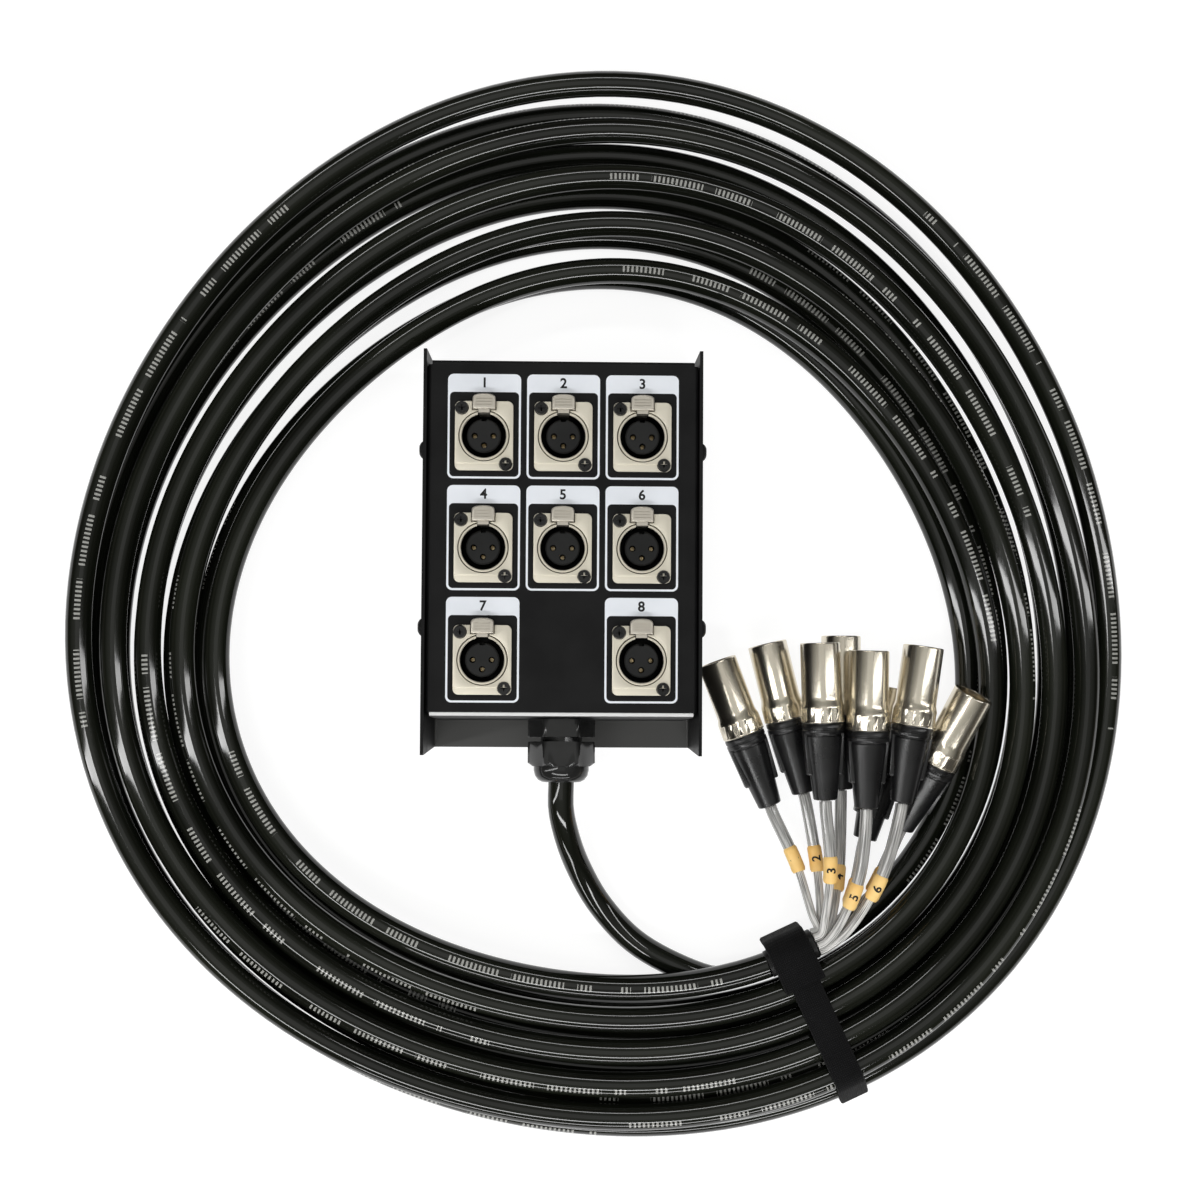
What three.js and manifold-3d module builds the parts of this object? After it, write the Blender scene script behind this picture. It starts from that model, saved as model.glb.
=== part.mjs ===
// Stage box snake: a steel box with eight chassis sockets, a coiled multicore cable and eight line plugs.
// The box lies on its back on the floor, and the origin is on the floor under the middle of the box.
// +Z points up out of the front panel, and +Y points from the cable gland to the far end of the box.
// All lengths are in millimetres and all angles in degrees.
import * as THREE from "three";
import { mergeVertices } from "three/addons/utils/BufferGeometryUtils.js";
import Module from "manifold-3d";

// General fits and cutting
const seatGap = 0.05;
const turnedGap = 0.3;
const overrun = 1;
const weld = 0.0005;

// Box: a folded tray whose sides stand up as cheeks, and a folded front panel between them
const boxWidth = 125;
const boxLength = 181;
const boxHeight = 60;
const traySheet = 1.5;
const trayBend = 2.5;
const panelSheet = 1.5;
const panelBend = 2;
const panelDrop = 3;
const panelSideGap = 0.15;
const panelFlange = 14;
const nearBay = 17;
const farBay = 4.5;
const wallLean = 4.1;
const sideScrewSpacing = 80;
const sideScrewDrop = 10;
const sideScrewHead = 7.6;
const sideScrewRise = 2.3;

// Chassis sockets
const socketPitchX = 35.4;
const farRowInset = 34.25;
const nearRowInset = 25.25;
const flangeWidth = 26;
const flangeHeight = 31;
const flangeCorner = 2.5;
const flangeThick = 1.95;
const flangeStepHeight = 3.2;
const flangeStepDepth = 0.5;
const socketRing = 22;
const socketRingRise = 0.6;
const socketBore = 19.8;
const socketBoreDepth = 17;
const socketBarrel = 23.4;
const socketFloor = 3;
const cutoutFit = 0.3;
const insertDiameter = 15.3;
const insertDrop = 0.4;
const insertChamfer = 0.6;
const contactHole = 2.8;
const contactCircle = 8.4;
const contactDepth = 9;
const contactAngles = [0, 180, 270];
const keyWidth = 2.4;
const keyDepth = 1.2;

// Latch tab over each socket
const tabWidth = 10.3;
const tabHeight = 7;
const tabThick = 2.6;
const tabOverhang = 3.2;
const tabCrown = 1.6;
const tabGroove = 0.6;
const grooveShares = [0.32, 0.6];
const grooveReachShare = 0.7;
const tabTravel = 1.4;
const stemWidth = 5;
const stemThick = 1.1;
const stemLength = 9;
const slideFit = 0.25;

// Cable gland in the near end wall
const glandHeight = 27;
const glandFlats = 27;
const glandHex = 8.2;
const glandShank = 22.4;
const glandShankLength = 10;
const glandStub = 19.4;
const glandStubLength = 8.6;
const glandGroove = 2.1;
const nutHex = 11.3;
const nutDome = 7.3;
const nutShoulder = 25.6;
const nutLip = 1.4;
const locknutThick = 5;
const sealWall = 2.2;
const sealLength = 8.5;

// Multicore cable: a lead from the gland and a coil of two layers
const cableDiameter = 12;
const cableFit = 0.3;
const cableInside = 22;
const coilX = 18;
const coilY = -28;
const coilRadius = 170.1;
const coilSwell = 14.4;
const coilOval = 4.9;
const coilTriangle = 5.8;
const coilWaveAngles = [-88.5, -11.6, -39];
const turnPitch = 15.2;
const turnPitchSwell = 3.3;
const turnPitchOval = 1.15;
const pitchWaveAngles = [93.5, -87.5];
const layerRise = 12.5;
const coilStart = -70;
const layerTurns = 5;
const climbTurns = 0.5;
const returnShare = 1.15;
const stepsPerTurn = 24;
const coilSides = 6;
const leadSteps = 34;
const leadSides = 10;
const leadWay = [
  [0, -117, 28.6],
  [3, -131, 23.5],
  [8.5, -146, 15.5],
  [18.5, -164, 9],
  [34.5, -181.5, 6.6],
  [54, -193, 6.6],
];

// Hook and loop strap round the coil
const strapAngle = -60;
const strapWidth = 14;
const strapThick = 1.6;
const strapSlack = 1.2;
const strapHeadWidth = 20;
const strapHeadThick = 1.5;
const strapHeadReach = 14;
const strapRiseSharpness = 8;

// Sleeve where the multicore splits into its tails
const sleeveBack = 12;
const sleeveFront = 12.5;
const sleeveStart = 12.8;
const sleeveEnd = 14;

// Tails and their marker rings
const tailDiameter = 4;
const tailRing = 9.8;
const tailStraight = 4;
const tailSteps = 14;
const tailSides = 8;
const markerDiameter = 7.4;
const markerLength = 12.5;

// Line plugs
const plugLength = 73;
const shellLength = 37.5;
const shellDiameter = 18.8;
const collarDiameter = 20.4;
const collarLength = 8;
const collarSlope = 3;
const shellBore = 16.2;
const shellBoreDepth = 12;
const rimBevel = 0.5;
const pinDiameter = 2.4;
const pinLength = 10;
const pinCircle = 8.4;
const bootCollar = 19.6;
const bootCollarLength = 4;
const bootGroove = 0.8;
const bootWaist = 17.6;
const bootEnd = 11.2;
const wingLength = 20;
const wingThick = 6;
const wingTop = 19.4;
const wingFoot = 16.6;

// Where each plug lies: the middle of its rim, its heading and its nose's rise. Its tail has a seat in
// the bundle, passes two places, and carries a marker ring at a share of its length.
const plugs = [
  { rim: [74, -48.5, 10.4], heading: 110.5, rise: 0, seat: [1, 0], way: [[118.2, -167, 20.5], [112, -145, 14]] },
  { rim: [98, -40, 10.4], heading: 104, rise: 0, seat: [0.62, -0.78], way: [[122.5, -166.5, 17.5], [121.5, -145, 13]] },
  { rim: [120.5, -39.5, 28], heading: 92, rise: 0, seat: [0.62, 0.78], way: [[123.5, -166, 26], [125.5, -145, 28]] },
  { rim: [133.5, -36, 10.4], heading: 90, rise: 0, seat: [0, 0], way: [[127.2, -169.4, 20.9], [132, -147, 13]] },
  { rim: [143, -43, 30.5], heading: 89, rise: 0, seat: [-0.22, 0.975], way: [[130, -170.5, 27], [138.5, -148, 30]] },
  { rim: [168.3, -41, 31.2], heading: 82, rise: 0, seat: [-0.9, 0.435], way: [[135, -173, 25], [149.5, -147, 29.5]] },
  { rim: [163.2, -62, 10.4], heading: 75.5, rise: 0, seat: [-0.22, -0.975], way: [[131.5, -170.5, 17.5], [139.5, -155, 13]] },
  { rim: [191.9, -63, 30.6], heading: 65.5, rise: 15.5, seat: [-0.9, -0.435], way: [[134, -174, 19.5], [147, -155.5, 18.5]] },
];
const markerShares = [0.58, 0.55, 0.52, 0.45, 0.42, 0.5, 0.55, 0.6];

// Facets on round work
const boreSides = 20;
const smallSides = 6;
const screwSides = 12;
const hexSides = 6;
const shellSides = 18;
const bootSides = 14;
const arcSteps = 4;

// Places worked out from the sizes above
const half = 1 / 2;
const degree = Math.PI / 180;
const panelTop = boxHeight - panelDrop;
const panelUnder = panelTop - panelSheet;
const panelHalf = boxWidth * half - traySheet - panelSideGap;
const nearEdge = -boxLength * half + nearBay;
const farEdge = boxLength * half - farBay;
const panelMiddle = (nearEdge + farEdge) * half;
const farRow = farEdge - farRowInset;
const nearRow = nearEdge + nearRowInset;
const wallFoot = traySheet + seatGap;
const lean = wallLean * degree;
const tabFoot = flangeHeight * half + tabOverhang - tabHeight;
const stemInner = socketBore * half + slideFit;
const cableRadius = cableDiameter * half;
const floorLevel = cableRadius + seatGap;
const strapLift = strapThick + strapSlack;
const lastTurn = layerTurns + climbTurns + (layerTurns - climbTurns);

// Finishes
const steelBlack = new THREE.MeshStandardMaterial({ color: 0x1b1b1d, roughness: 0.45, metalness: 0.4 });
const nickel = new THREE.MeshStandardMaterial({ color: 0xd8d0c2, roughness: 0.3, metalness: 0.9 });
const darkPlastic = new THREE.MeshStandardMaterial({ color: 0x2a2a2c, roughness: 0.5, metalness: 0 });
const nylon = new THREE.MeshStandardMaterial({ color: 0x161617, roughness: 0.35, metalness: 0 });
const rubber = new THREE.MeshStandardMaterial({ color: 0x121212, roughness: 0.8, metalness: 0 });
const jacket = new THREE.MeshStandardMaterial({ color: 0x262723, roughness: 0.4, metalness: 0 });
const tailJacket = new THREE.MeshStandardMaterial({ color: 0xa7a7a5, roughness: 0.5, metalness: 0 });
const webbing = new THREE.MeshStandardMaterial({ color: 0x0c0c0d, roughness: 0.95, metalness: 0 });

const wasm = await Module();
wasm.setup();

// A closed geometry as a solid that can be cut and joined
function solid(geometry) {
  const loose = geometry.index ? geometry.toNonIndexed() : geometry;
  const bare = new THREE.BufferGeometry();
  bare.setAttribute("position", loose.getAttribute("position").clone());
  const merged = mergeVertices(bare, weld);
  const vertProperties = merged.attributes.position.array;
  const triVerts = new Uint32Array(merged.index.array);
  return new wasm.Manifold(new wasm.Mesh({ numProp: 3, vertProperties, triVerts }));
}

// A solid as a geometry that can be shown
function surface(body) {
  const { vertProperties, triVerts } = body.getMesh();
  const shared = new THREE.BufferGeometry();
  shared.setAttribute("position", new THREE.BufferAttribute(Float32Array.from(vertProperties), 3));
  shared.setIndex(new THREE.BufferAttribute(Uint32Array.from(triVerts), 1));
  const faceted = shared.toNonIndexed();
  faceted.computeVertexNormals();
  return faceted;
}

function cut(body, tools) {
  return tools.reduce((rest, tool) => rest.subtract(solid(tool)), body);
}

function join(body, pieces) {
  return pieces.reduce((whole, piece) => whole.add(solid(piece)), body);
}

function named(name, geometry, material) {
  const mesh = new THREE.Mesh(geometry, material);
  mesh.name = name;
  return mesh;
}

// A block from its low corner to its high corner
function block([x0, y0, z0], [x1, y1, z1]) {
  const box = new THREE.BoxGeometry(x1 - x0, y1 - y0, z1 - z0);
  return box.translate((x0 + x1) * half, (y0 + y1) * half, (z0 + z1) * half);
}

// A round rod along +Z from z0 to z1
function rod(diameter, z0, z1, sides = boreSides, x = 0, y = 0) {
  const round = new THREE.CylinderGeometry(diameter * half, diameter * half, z1 - z0, sides);
  return round.rotateX(Math.PI * half).translate(x, y, (z0 + z1) * half);
}

// A hexagonal bar along +Z with a flat facing +Y
function hexBar(flats, z0, z1) {
  const corners = flats / Math.cos(Math.PI / hexSides);
  return rod(corners, z0, z1, hexSides).rotateZ(Math.PI / hexSides);
}

// A piece turned about +Z, its outline given upwards along the outside as [diameter, z] pairs
function turned(outline, sides) {
  const profile = outline.map(([diameter, z]) => new THREE.Vector2(diameter * half, z));
  return new THREE.LatheGeometry(profile, sides).rotateX(Math.PI * half);
}

// A plate drawn in X and Y, from z0 up to z1
function plate(shape, z0, z1) {
  const settings = { depth: z1 - z0, bevelEnabled: false, curveSegments: arcSteps };
  return new THREE.ExtrudeGeometry(shape, settings).translate(0, 0, z0);
}

// A bar whose section is drawn in X and Z, from y0 to y1
function barAlongY(shape, y0, y1) {
  return plate(shape, -y1, -y0).rotateX(Math.PI * half);
}

// A bar whose section is drawn in Y and Z, from x0 to x1
function barAlongX(shape, x0, x1) {
  return plate(shape, x0, x1).rotateX(Math.PI * half).rotateZ(Math.PI * half);
}

// A round tube along a curve
function tubeAlong(curve, diameter, sides, steps) {
  const corners = [];
  for (let side = 0; side < sides; side++) {
    const angle = (side / sides) * Math.PI * 2;
    corners.push(new THREE.Vector2(Math.cos(angle) * diameter * half, Math.sin(angle) * diameter * half));
  }
  return new THREE.ExtrudeGeometry(new THREE.Shape(corners), { steps, extrudePath: curve });
}

function roundedRectangle(width, height, corner) {
  const x = width * half;
  const y = height * half;
  const shape = new THREE.Shape();
  shape.moveTo(-x + corner, -y);
  shape.lineTo(x - corner, -y);
  shape.absarc(x - corner, -y + corner, corner, -Math.PI * half, 0);
  shape.lineTo(x, y - corner);
  shape.absarc(x - corner, y - corner, corner, 0, Math.PI * half);
  shape.lineTo(-x + corner, y);
  shape.absarc(-x + corner, y - corner, corner, Math.PI * half, Math.PI);
  shape.lineTo(-x, -y + corner);
  shape.absarc(-x + corner, -y + corner, corner, Math.PI, Math.PI * 3 * half);
  return shape;
}

// A sheet folded into a channel that is open at the top
function channelSection(halfWidth, height, sheet, bend) {
  const shape = new THREE.Shape();
  shape.moveTo(-halfWidth, height);
  shape.lineTo(-halfWidth, bend);
  shape.absarc(-halfWidth + bend, bend, bend, Math.PI, Math.PI * 3 * half);
  shape.lineTo(halfWidth - bend, 0);
  shape.absarc(halfWidth - bend, bend, bend, -Math.PI * half, 0);
  shape.lineTo(halfWidth, height);
  shape.lineTo(halfWidth - sheet, height);
  shape.lineTo(halfWidth - sheet, bend);
  shape.absarc(halfWidth - bend, bend, bend - sheet, 0, -Math.PI * half, true);
  shape.lineTo(-halfWidth + bend, sheet);
  shape.absarc(-halfWidth + bend, bend, bend - sheet, -Math.PI * half, -Math.PI, true);
  shape.lineTo(-halfWidth + sheet, height);
  return shape;
}

// The head of a side screw, standing on z = 0 with its foot sunk in the cheek
function panHead() {
  const skirt = sideScrewRise * half;
  const crown = (sideScrewHead + skirt) * half;
  const outline = [
    [0, -skirt],
    [sideScrewHead, -skirt],
    [sideScrewHead, skirt],
    [sideScrewHead - skirt, (skirt + sideScrewRise) * half],
    [crown, sideScrewRise],
    [0, sideScrewRise],
  ];
  return turned(outline, screwSides);
}

// The tray: base and cheeks folded from one sheet, with the heads of its four side screws
function baseTray() {
  const section = channelSection(boxWidth * half, boxHeight, traySheet, trayBend);
  const folded = solid(barAlongY(section, -boxLength * half, boxLength * half));
  const heads = [];
  for (const side of [-1, 1]) {
    for (const end of [-1, 1]) {
      const y = panelMiddle + end * sideScrewSpacing * half;
      const head = panHead().rotateY(side * Math.PI * half);
      heads.push(head.translate(side * boxWidth * half, y, boxHeight - sideScrewDrop));
    }
  }
  return named("base_tray", surface(join(folded, heads)), steelBlack);
}

// The side view of the front panel: its face and its two leaning end walls
function panelSection() {
  const run = (panelTop - wallFoot) * Math.tan(lean);
  const inner = panelSheet / Math.cos(lean);
  const drop = panelBend * Math.tan(lean);
  const shape = new THREE.Shape();
  shape.moveTo(nearEdge - run, wallFoot);
  shape.lineTo(nearEdge - run + inner, wallFoot);
  shape.lineTo(nearEdge + inner, panelUnder);
  shape.lineTo(farEdge - inner, panelUnder);
  shape.lineTo(farEdge + run - inner, wallFoot);
  shape.lineTo(farEdge + run, wallFoot);
  shape.lineTo(farEdge + drop, panelTop - panelBend);
  shape.quadraticCurveTo(farEdge, panelTop, farEdge - panelBend, panelTop);
  shape.lineTo(nearEdge + panelBend, panelTop);
  shape.quadraticCurveTo(nearEdge, panelTop, nearEdge - drop, panelTop - panelBend);
  return shape;
}

// Eight sockets in three rows: the middle place of the last row stays empty
const socketPlaces = [];
for (const row of [farRow, (farRow + nearRow) * half, nearRow]) {
  for (const column of [-1, 0, 1]) {
    if (row !== nearRow || column !== 0) {
      socketPlaces.push([column * socketPitchX, row]);
    }
  }
}

// The gland's own frame: +Z out of the end wall and +Y up along it
const glandSeat = nearEdge - (panelTop - glandHeight) * Math.tan(lean);
const glandFrame = new THREE.Matrix4().makeRotationX(Math.PI * half - lean).setPosition(0, glandSeat, glandHeight);

function frontPanel() {
  const flanges = barAlongY(
    channelSection(panelHalf, panelFlange, panelSheet, panelBend),
    nearEdge + panelBend,
    farEdge - panelBend,
  );
  flanges.rotateZ(Math.PI).rotateX(Math.PI).translate(0, 0, panelTop);
  const walls = barAlongX(panelSection(), -panelHalf + panelBend, panelHalf - panelBend);
  const holes = socketPlaces.map(([x, y]) =>
    rod(socketBarrel + cutoutFit * 2, panelUnder - overrun, panelTop + overrun, boreSides, x, y),
  );
  const glandHole = rod(glandShank + cutoutFit * 2, -panelSheet - overrun, overrun);
  const sheet = cut(join(solid(walls), [flanges]), [...holes, glandHole.applyMatrix4(glandFrame)]);
  return named("front_panel", surface(sheet), steelBlack);
}

// A chassis socket has its own frame: z = 0 is the panel's face and +Y points to its latch
function socketHousing(name) {
  const top = seatGap + flangeThick;
  const ringTop = top + socketRingRise;
  const bottom = -socketBoreDepth - socketFloor;
  const edge = flangeHeight * half;
  const body = join(solid(plate(roundedRectangle(flangeWidth, flangeHeight, flangeCorner), seatGap, top)), [
    rod(socketRing, seatGap, ringTop),
    rod(socketBarrel, bottom, seatGap + flangeThick * half),
  ]);
  const step = block([-flangeWidth, -flangeHeight, top - flangeStepDepth], [flangeWidth, -edge + flangeStepHeight, ringTop]);
  const notchSide = tabWidth * half + slideFit;
  const notch = block([-notchSide, tabFoot - slideFit, -overrun], [notchSide, flangeHeight, ringTop + overrun]);
  const slotSide = stemWidth * half + slideFit;
  const slotFoot = -stemLength - tabTravel - slideFit;
  const slot = block([-slotSide, 0, slotFoot], [slotSide, stemInner + stemThick + slideFit, ringTop + overrun]);
  const bore = rod(socketBore, -socketBoreDepth, ringTop + overrun);
  return named(name, surface(cut(body, [step, notch, slot, bore])), nickel);
}

// The insert holds the three contacts and stands on the floor of the socket's bore
function socketInsert(name) {
  const foot = -socketBoreDepth + seatGap;
  const top = seatGap + flangeThick - insertDrop;
  const post = turned(
    [
      [0, foot],
      [insertDiameter, foot],
      [insertDiameter, top - insertChamfer],
      [insertDiameter - insertChamfer * 2, top],
      [0, top],
    ],
    boreSides,
  );
  const holes = contactAngles.map((angle) => {
    const x = Math.cos(angle * degree) * contactCircle * half;
    const y = Math.sin(angle * degree) * contactCircle * half;
    return rod(contactHole, top - contactDepth, top + overrun, smallSides, x, y);
  });
  const keyFoot = insertDiameter * half - keyDepth;
  const key = block([-keyWidth * half, keyFoot, top - contactDepth], [keyWidth * half, insertDiameter, top + overrun]);
  return named(name, surface(cut(solid(post), [...holes, key])), darkPlastic);
}

// The latch: a finger tab over the flange's notch, and a stem that slides down inside the housing
function socketLatch(name) {
  const foot = seatGap + slideFit + tabTravel;
  const top = foot + tabThick;
  const side = tabWidth * half;
  const tabEnd = tabFoot + tabHeight;
  const shape = new THREE.Shape();
  shape.moveTo(-side, tabFoot);
  shape.lineTo(side, tabFoot);
  shape.lineTo(side, tabEnd - tabCrown);
  shape.quadraticCurveTo(side * half, tabEnd, 0, tabEnd);
  shape.quadraticCurveTo(-side * half, tabEnd, -side, tabEnd - tabCrown);
  const stemSide = stemWidth * half;
  const stem = block([-stemSide, stemInner, -stemLength], [stemSide, stemInner + stemThick, top - tabGroove]);
  const neck = block([-stemSide, stemInner, foot], [stemSide, tabFoot + stemThick, top - tabGroove]);
  const grooves = grooveShares.map((share) => {
    const y = tabFoot + tabHeight * share;
    const reach = side * grooveReachShare;
    return block([-reach, y - tabGroove * half, top - tabGroove], [reach, y + tabGroove * half, top + overrun]);
  });
  return named(name, surface(cut(join(solid(plate(shape, foot, top)), [stem, neck]), grooves)), nickel);
}

function sockets() {
  const group = new THREE.Group();
  socketPlaces.forEach(([x, y], index) => {
    const prefix = `socket_${index + 1}_`;
    const socket = new THREE.Group();
    socket.position.set(x, y, panelTop);
    socket.add(socketHousing(`${prefix}housing`), socketInsert(`${prefix}insert`), socketLatch(`${prefix}latch`));
    group.add(socket);
  });
  return group;
}

// The gland: a body through the wall, its locknut inside, and a cap nut that squeezes a seal
const glandBore = cableDiameter + cableFit * 2 + sealWall;
const nutFoot = turnedGap + glandHex + glandGroove;
const nutEnd = nutFoot + nutHex + nutDome;
const stubEnd = turnedGap + glandHex + glandStubLength;
const sealStart = stubEnd + seatGap;

function gland() {
  const body = join(solid(hexBar(glandFlats, turnedGap, turnedGap + glandHex)), [
    rod(glandShank, -panelSheet - glandShankLength, turnedGap + glandHex * half),
    rod(glandStub, turnedGap, stubEnd),
  ]);
  const bodyBore = rod(glandBore, -panelSheet - glandShankLength - overrun, stubEnd + overrun);
  const locknutTop = -panelSheet - turnedGap;
  const locknut = solid(hexBar(glandFlats, locknutTop - locknutThick, locknutTop));
  const locknutBore = rod(glandShank + turnedGap * 2, locknutTop - locknutThick - overrun, overrun);
  const lip = cableDiameter + cableFit * 2;
  const dome = turned(
    [
      [0, nutFoot + nutHex - seatGap],
      [nutShoulder, nutFoot + nutHex - seatGap],
      [nutShoulder, nutFoot + nutHex + nutDome * half * half],
      [(nutShoulder * 3 + lip) * half * half, nutEnd - nutDome * half * half],
      [(nutShoulder + lip) * half, nutEnd],
      [0, nutEnd],
    ],
    boreSides,
  );
  const nutBore = rod(glandStub + turnedGap * 2, nutFoot - overrun, stubEnd + turnedGap);
  const sealSeat = lip + sealWall * 2 + turnedGap * 2;
  const nut = cut(join(solid(hexBar(glandFlats, nutFoot, nutFoot + nutHex)), [dome]), [
    nutBore,
    rod(sealSeat, nutFoot, nutEnd - nutLip),
    rod(lip, nutFoot, nutEnd + overrun),
  ]);
  const seal = solid(rod(lip + sealWall * 2, sealStart, sealStart + sealLength));
  const group = new THREE.Group();
  group.applyMatrix4(glandFrame);
  group.add(
    named("gland_body", surface(cut(body, [bodyBore])), nylon),
    named("gland_locknut", surface(cut(locknut, [locknutBore])), nylon),
    named("gland_seal", surface(cut(seal, [rod(lip, sealStart - overrun, nutEnd)])), rubber),
    named("gland_nut", surface(nut), nylon),
  );
  return group;
}

// A wave round the coil: a number of swells, the first of them at an angle
function wave(angle, swells, at) {
  return Math.cos(swells * (angle - at) * degree);
}

// How many pitches out from the first turn the cable lies after a number of turns
function layerPlace(turns) {
  const reversal = layerTurns + climbTurns * half;
  return turns < reversal ? turns : reversal - (turns - reversal) * returnShare;
}

function smooth(share) {
  const held = Math.min(Math.max(share, 0), 1);
  return held * held * (3 - 2 * held);
}

// How far the strap under the coil lifts it
function strapRise(angle) {
  return strapLift * Math.max(0, wave(angle, 1, strapAngle)) ** strapRiseSharpness;
}

// The cable's centre in the coil: out through the lower layer, up in half a turn, and back through the upper
function coilPoint(turns) {
  const angle = coilStart + turns * 360;
  const first = coilRadius + coilSwell * wave(angle, 1, coilWaveAngles[0])
    + coilOval * wave(angle, 2, coilWaveAngles[1]) + coilTriangle * wave(angle, 3, coilWaveAngles[2]);
  const pitch = turnPitch + turnPitchSwell * wave(angle, 1, pitchWaveAngles[0])
    + turnPitchOval * wave(angle, 2, pitchWaveAngles[1]);
  const radius = first + pitch * layerPlace(turns);
  const z = floorLevel + strapRise(angle) + layerRise * smooth((turns - layerTurns) / climbTurns);
  const x = coilX + radius * Math.cos(angle * degree);
  return new THREE.Vector3(x, coilY + radius * Math.sin(angle * degree), z);
}

// The direction of the cable in the coil
function coilTangent(turns) {
  const step = strapTurns / stepsPerTurn;
  return coilPoint(turns + step).sub(coilPoint(turns - step)).normalize();
}

// The coil ends a little before the strap, and the sleeve goes on from there
const strapTurns = (strapAngle - coilStart) / 360;
const coilTurns = lastTurn + strapTurns - sleeveBack / (Math.PI * 2 * coilRadius);
const coilRings = Math.round(coilTurns * stepsPerTurn);
const coilLast = coilPoint(coilTurns);
const sleeveAlong = coilTangent(lastTurn + strapTurns).setZ(0).normalize();
const sleeveLength = sleeveBack + sleeveFront;

// The sleeve's own frame: +Z towards the tails, +X down and +Y to the left
const sleeveFrame = new THREE.Matrix4()
  .makeRotationZ(Math.atan2(sleeveAlong.y, sleeveAlong.x))
  .multiply(new THREE.Matrix4().makeRotationY(Math.PI * half))
  .setPosition(coilLast);

// A place on the straight stretches between the rings of the coiled tube
function tubePoint(turns) {
  const place = (turns / coilTurns) * coilRings;
  const before = Math.floor(place);
  const start = coilPoint((coilTurns * before) / coilRings);
  return start.lerp(coilPoint((coilTurns * (before + 1)) / coilRings), place - before);
}

// The least gap between stretches of the coil, worked out on its points
function leastCoilGap() {
  const perTurn = stepsPerTurn * arcSteps;
  const points = [];
  for (let step = 0; step <= coilTurns * perTurn; step++) {
    points.push(coilPoint(step / perTurn));
  }
  let least = Infinity;
  points.forEach((point, index) => {
    for (let other = index + perTurn * half; other < points.length; other++) {
      least = Math.min(least, point.distanceTo(points[other]) - cableDiameter);
    }
  });
  return least;
}

// One unbroken tube of rings of points, its ends closed by fans
function coiledTube() {
  const positions = [];
  const faces = [];
  for (let step = 0; step <= coilRings; step++) {
    const turns = (coilTurns * step) / coilRings;
    const centre = coilPoint(turns);
    const along = step < coilRings ? coilTangent(turns) : sleeveAlong;
    const side = new THREE.Vector3(0, 0, 1).cross(along).normalize();
    const up = along.clone().cross(side);
    for (let corner = 0; corner < coilSides; corner++) {
      const angle = Math.PI * half + (corner / coilSides) * Math.PI * 2;
      const point = centre.clone().addScaledVector(side, Math.cos(angle) * cableRadius);
      positions.push(...point.addScaledVector(up, Math.sin(angle) * cableRadius).toArray());
    }
  }
  const ring = (index, corner) => index * coilSides + (corner % coilSides);
  for (let index = 0; index < coilRings; index++) {
    for (let corner = 0; corner < coilSides; corner++) {
      faces.push(ring(index, corner), ring(index, corner + 1), ring(index + 1, corner + 1));
      faces.push(ring(index, corner), ring(index + 1, corner + 1), ring(index + 1, corner));
    }
  }
  for (let corner = 1; corner < coilSides - 1; corner++) {
    faces.push(ring(0, 0), ring(0, corner + 1), ring(0, corner));
    faces.push(ring(coilRings, 0), ring(coilRings, corner), ring(coilRings, corner + 1));
  }
  const geometry = new THREE.BufferGeometry();
  geometry.setAttribute("position", new THREE.Float32BufferAttribute(positions, 3));
  geometry.setIndex(faces);
  return geometry;
}

// The cable from inside the box, through the gland, and down to the floor and the coil
function cable() {
  const alongGland = (distance) => new THREE.Vector3(0, 0, distance).applyMatrix4(glandFrame);
  const leadStart = alongGland(sealStart);
  const coilFirst = coilPoint(0);
  const joint = coilFirst.clone().addScaledVector(coilTangent(0), -turnedGap);
  const straight = joint.clone().addScaledVector(coilTangent(0), -cableRadius);
  const route = [leadStart, alongGland(nutEnd), ...leadWay.map((place) => new THREE.Vector3(...place)), straight, joint];
  const lead = tubeAlong(new THREE.CatmullRomCurve3(route, false, "centripetal"), cableDiameter, leadSides, leadSteps);
  const inner = rod(cableDiameter, -cableInside, sealStart - turnedGap, leadSides);
  const group = new THREE.Group();
  group.add(
    named("cable_inner_end", inner.applyMatrix4(glandFrame), jacket),
    named("cable_lead", lead, jacket),
    named("cable_coil", coiledTube(), jacket),
  );
  return group;
}

// The outline of a band stretched round equal circles whose centres go anticlockwise
function bandOutline(centres, radius) {
  const points = [];
  centres.forEach((centre, index) => {
    const before = centres[(index + centres.length - 1) % centres.length];
    const after = centres[(index + 1) % centres.length];
    const first = Math.atan2(centre.y - before.y, centre.x - before.x) - Math.PI * half;
    let last = Math.atan2(after.y - centre.y, after.x - centre.x) - Math.PI * half;
    if (last < first) last += Math.PI * 2;
    for (let step = 0; step <= arcSteps; step++) {
      const angle = first + ((last - first) * step) / arcSteps;
      points.push(new THREE.Vector2(centre.x + Math.cos(angle) * radius, centre.y + Math.sin(angle) * radius));
    }
  });
  return points;
}

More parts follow.
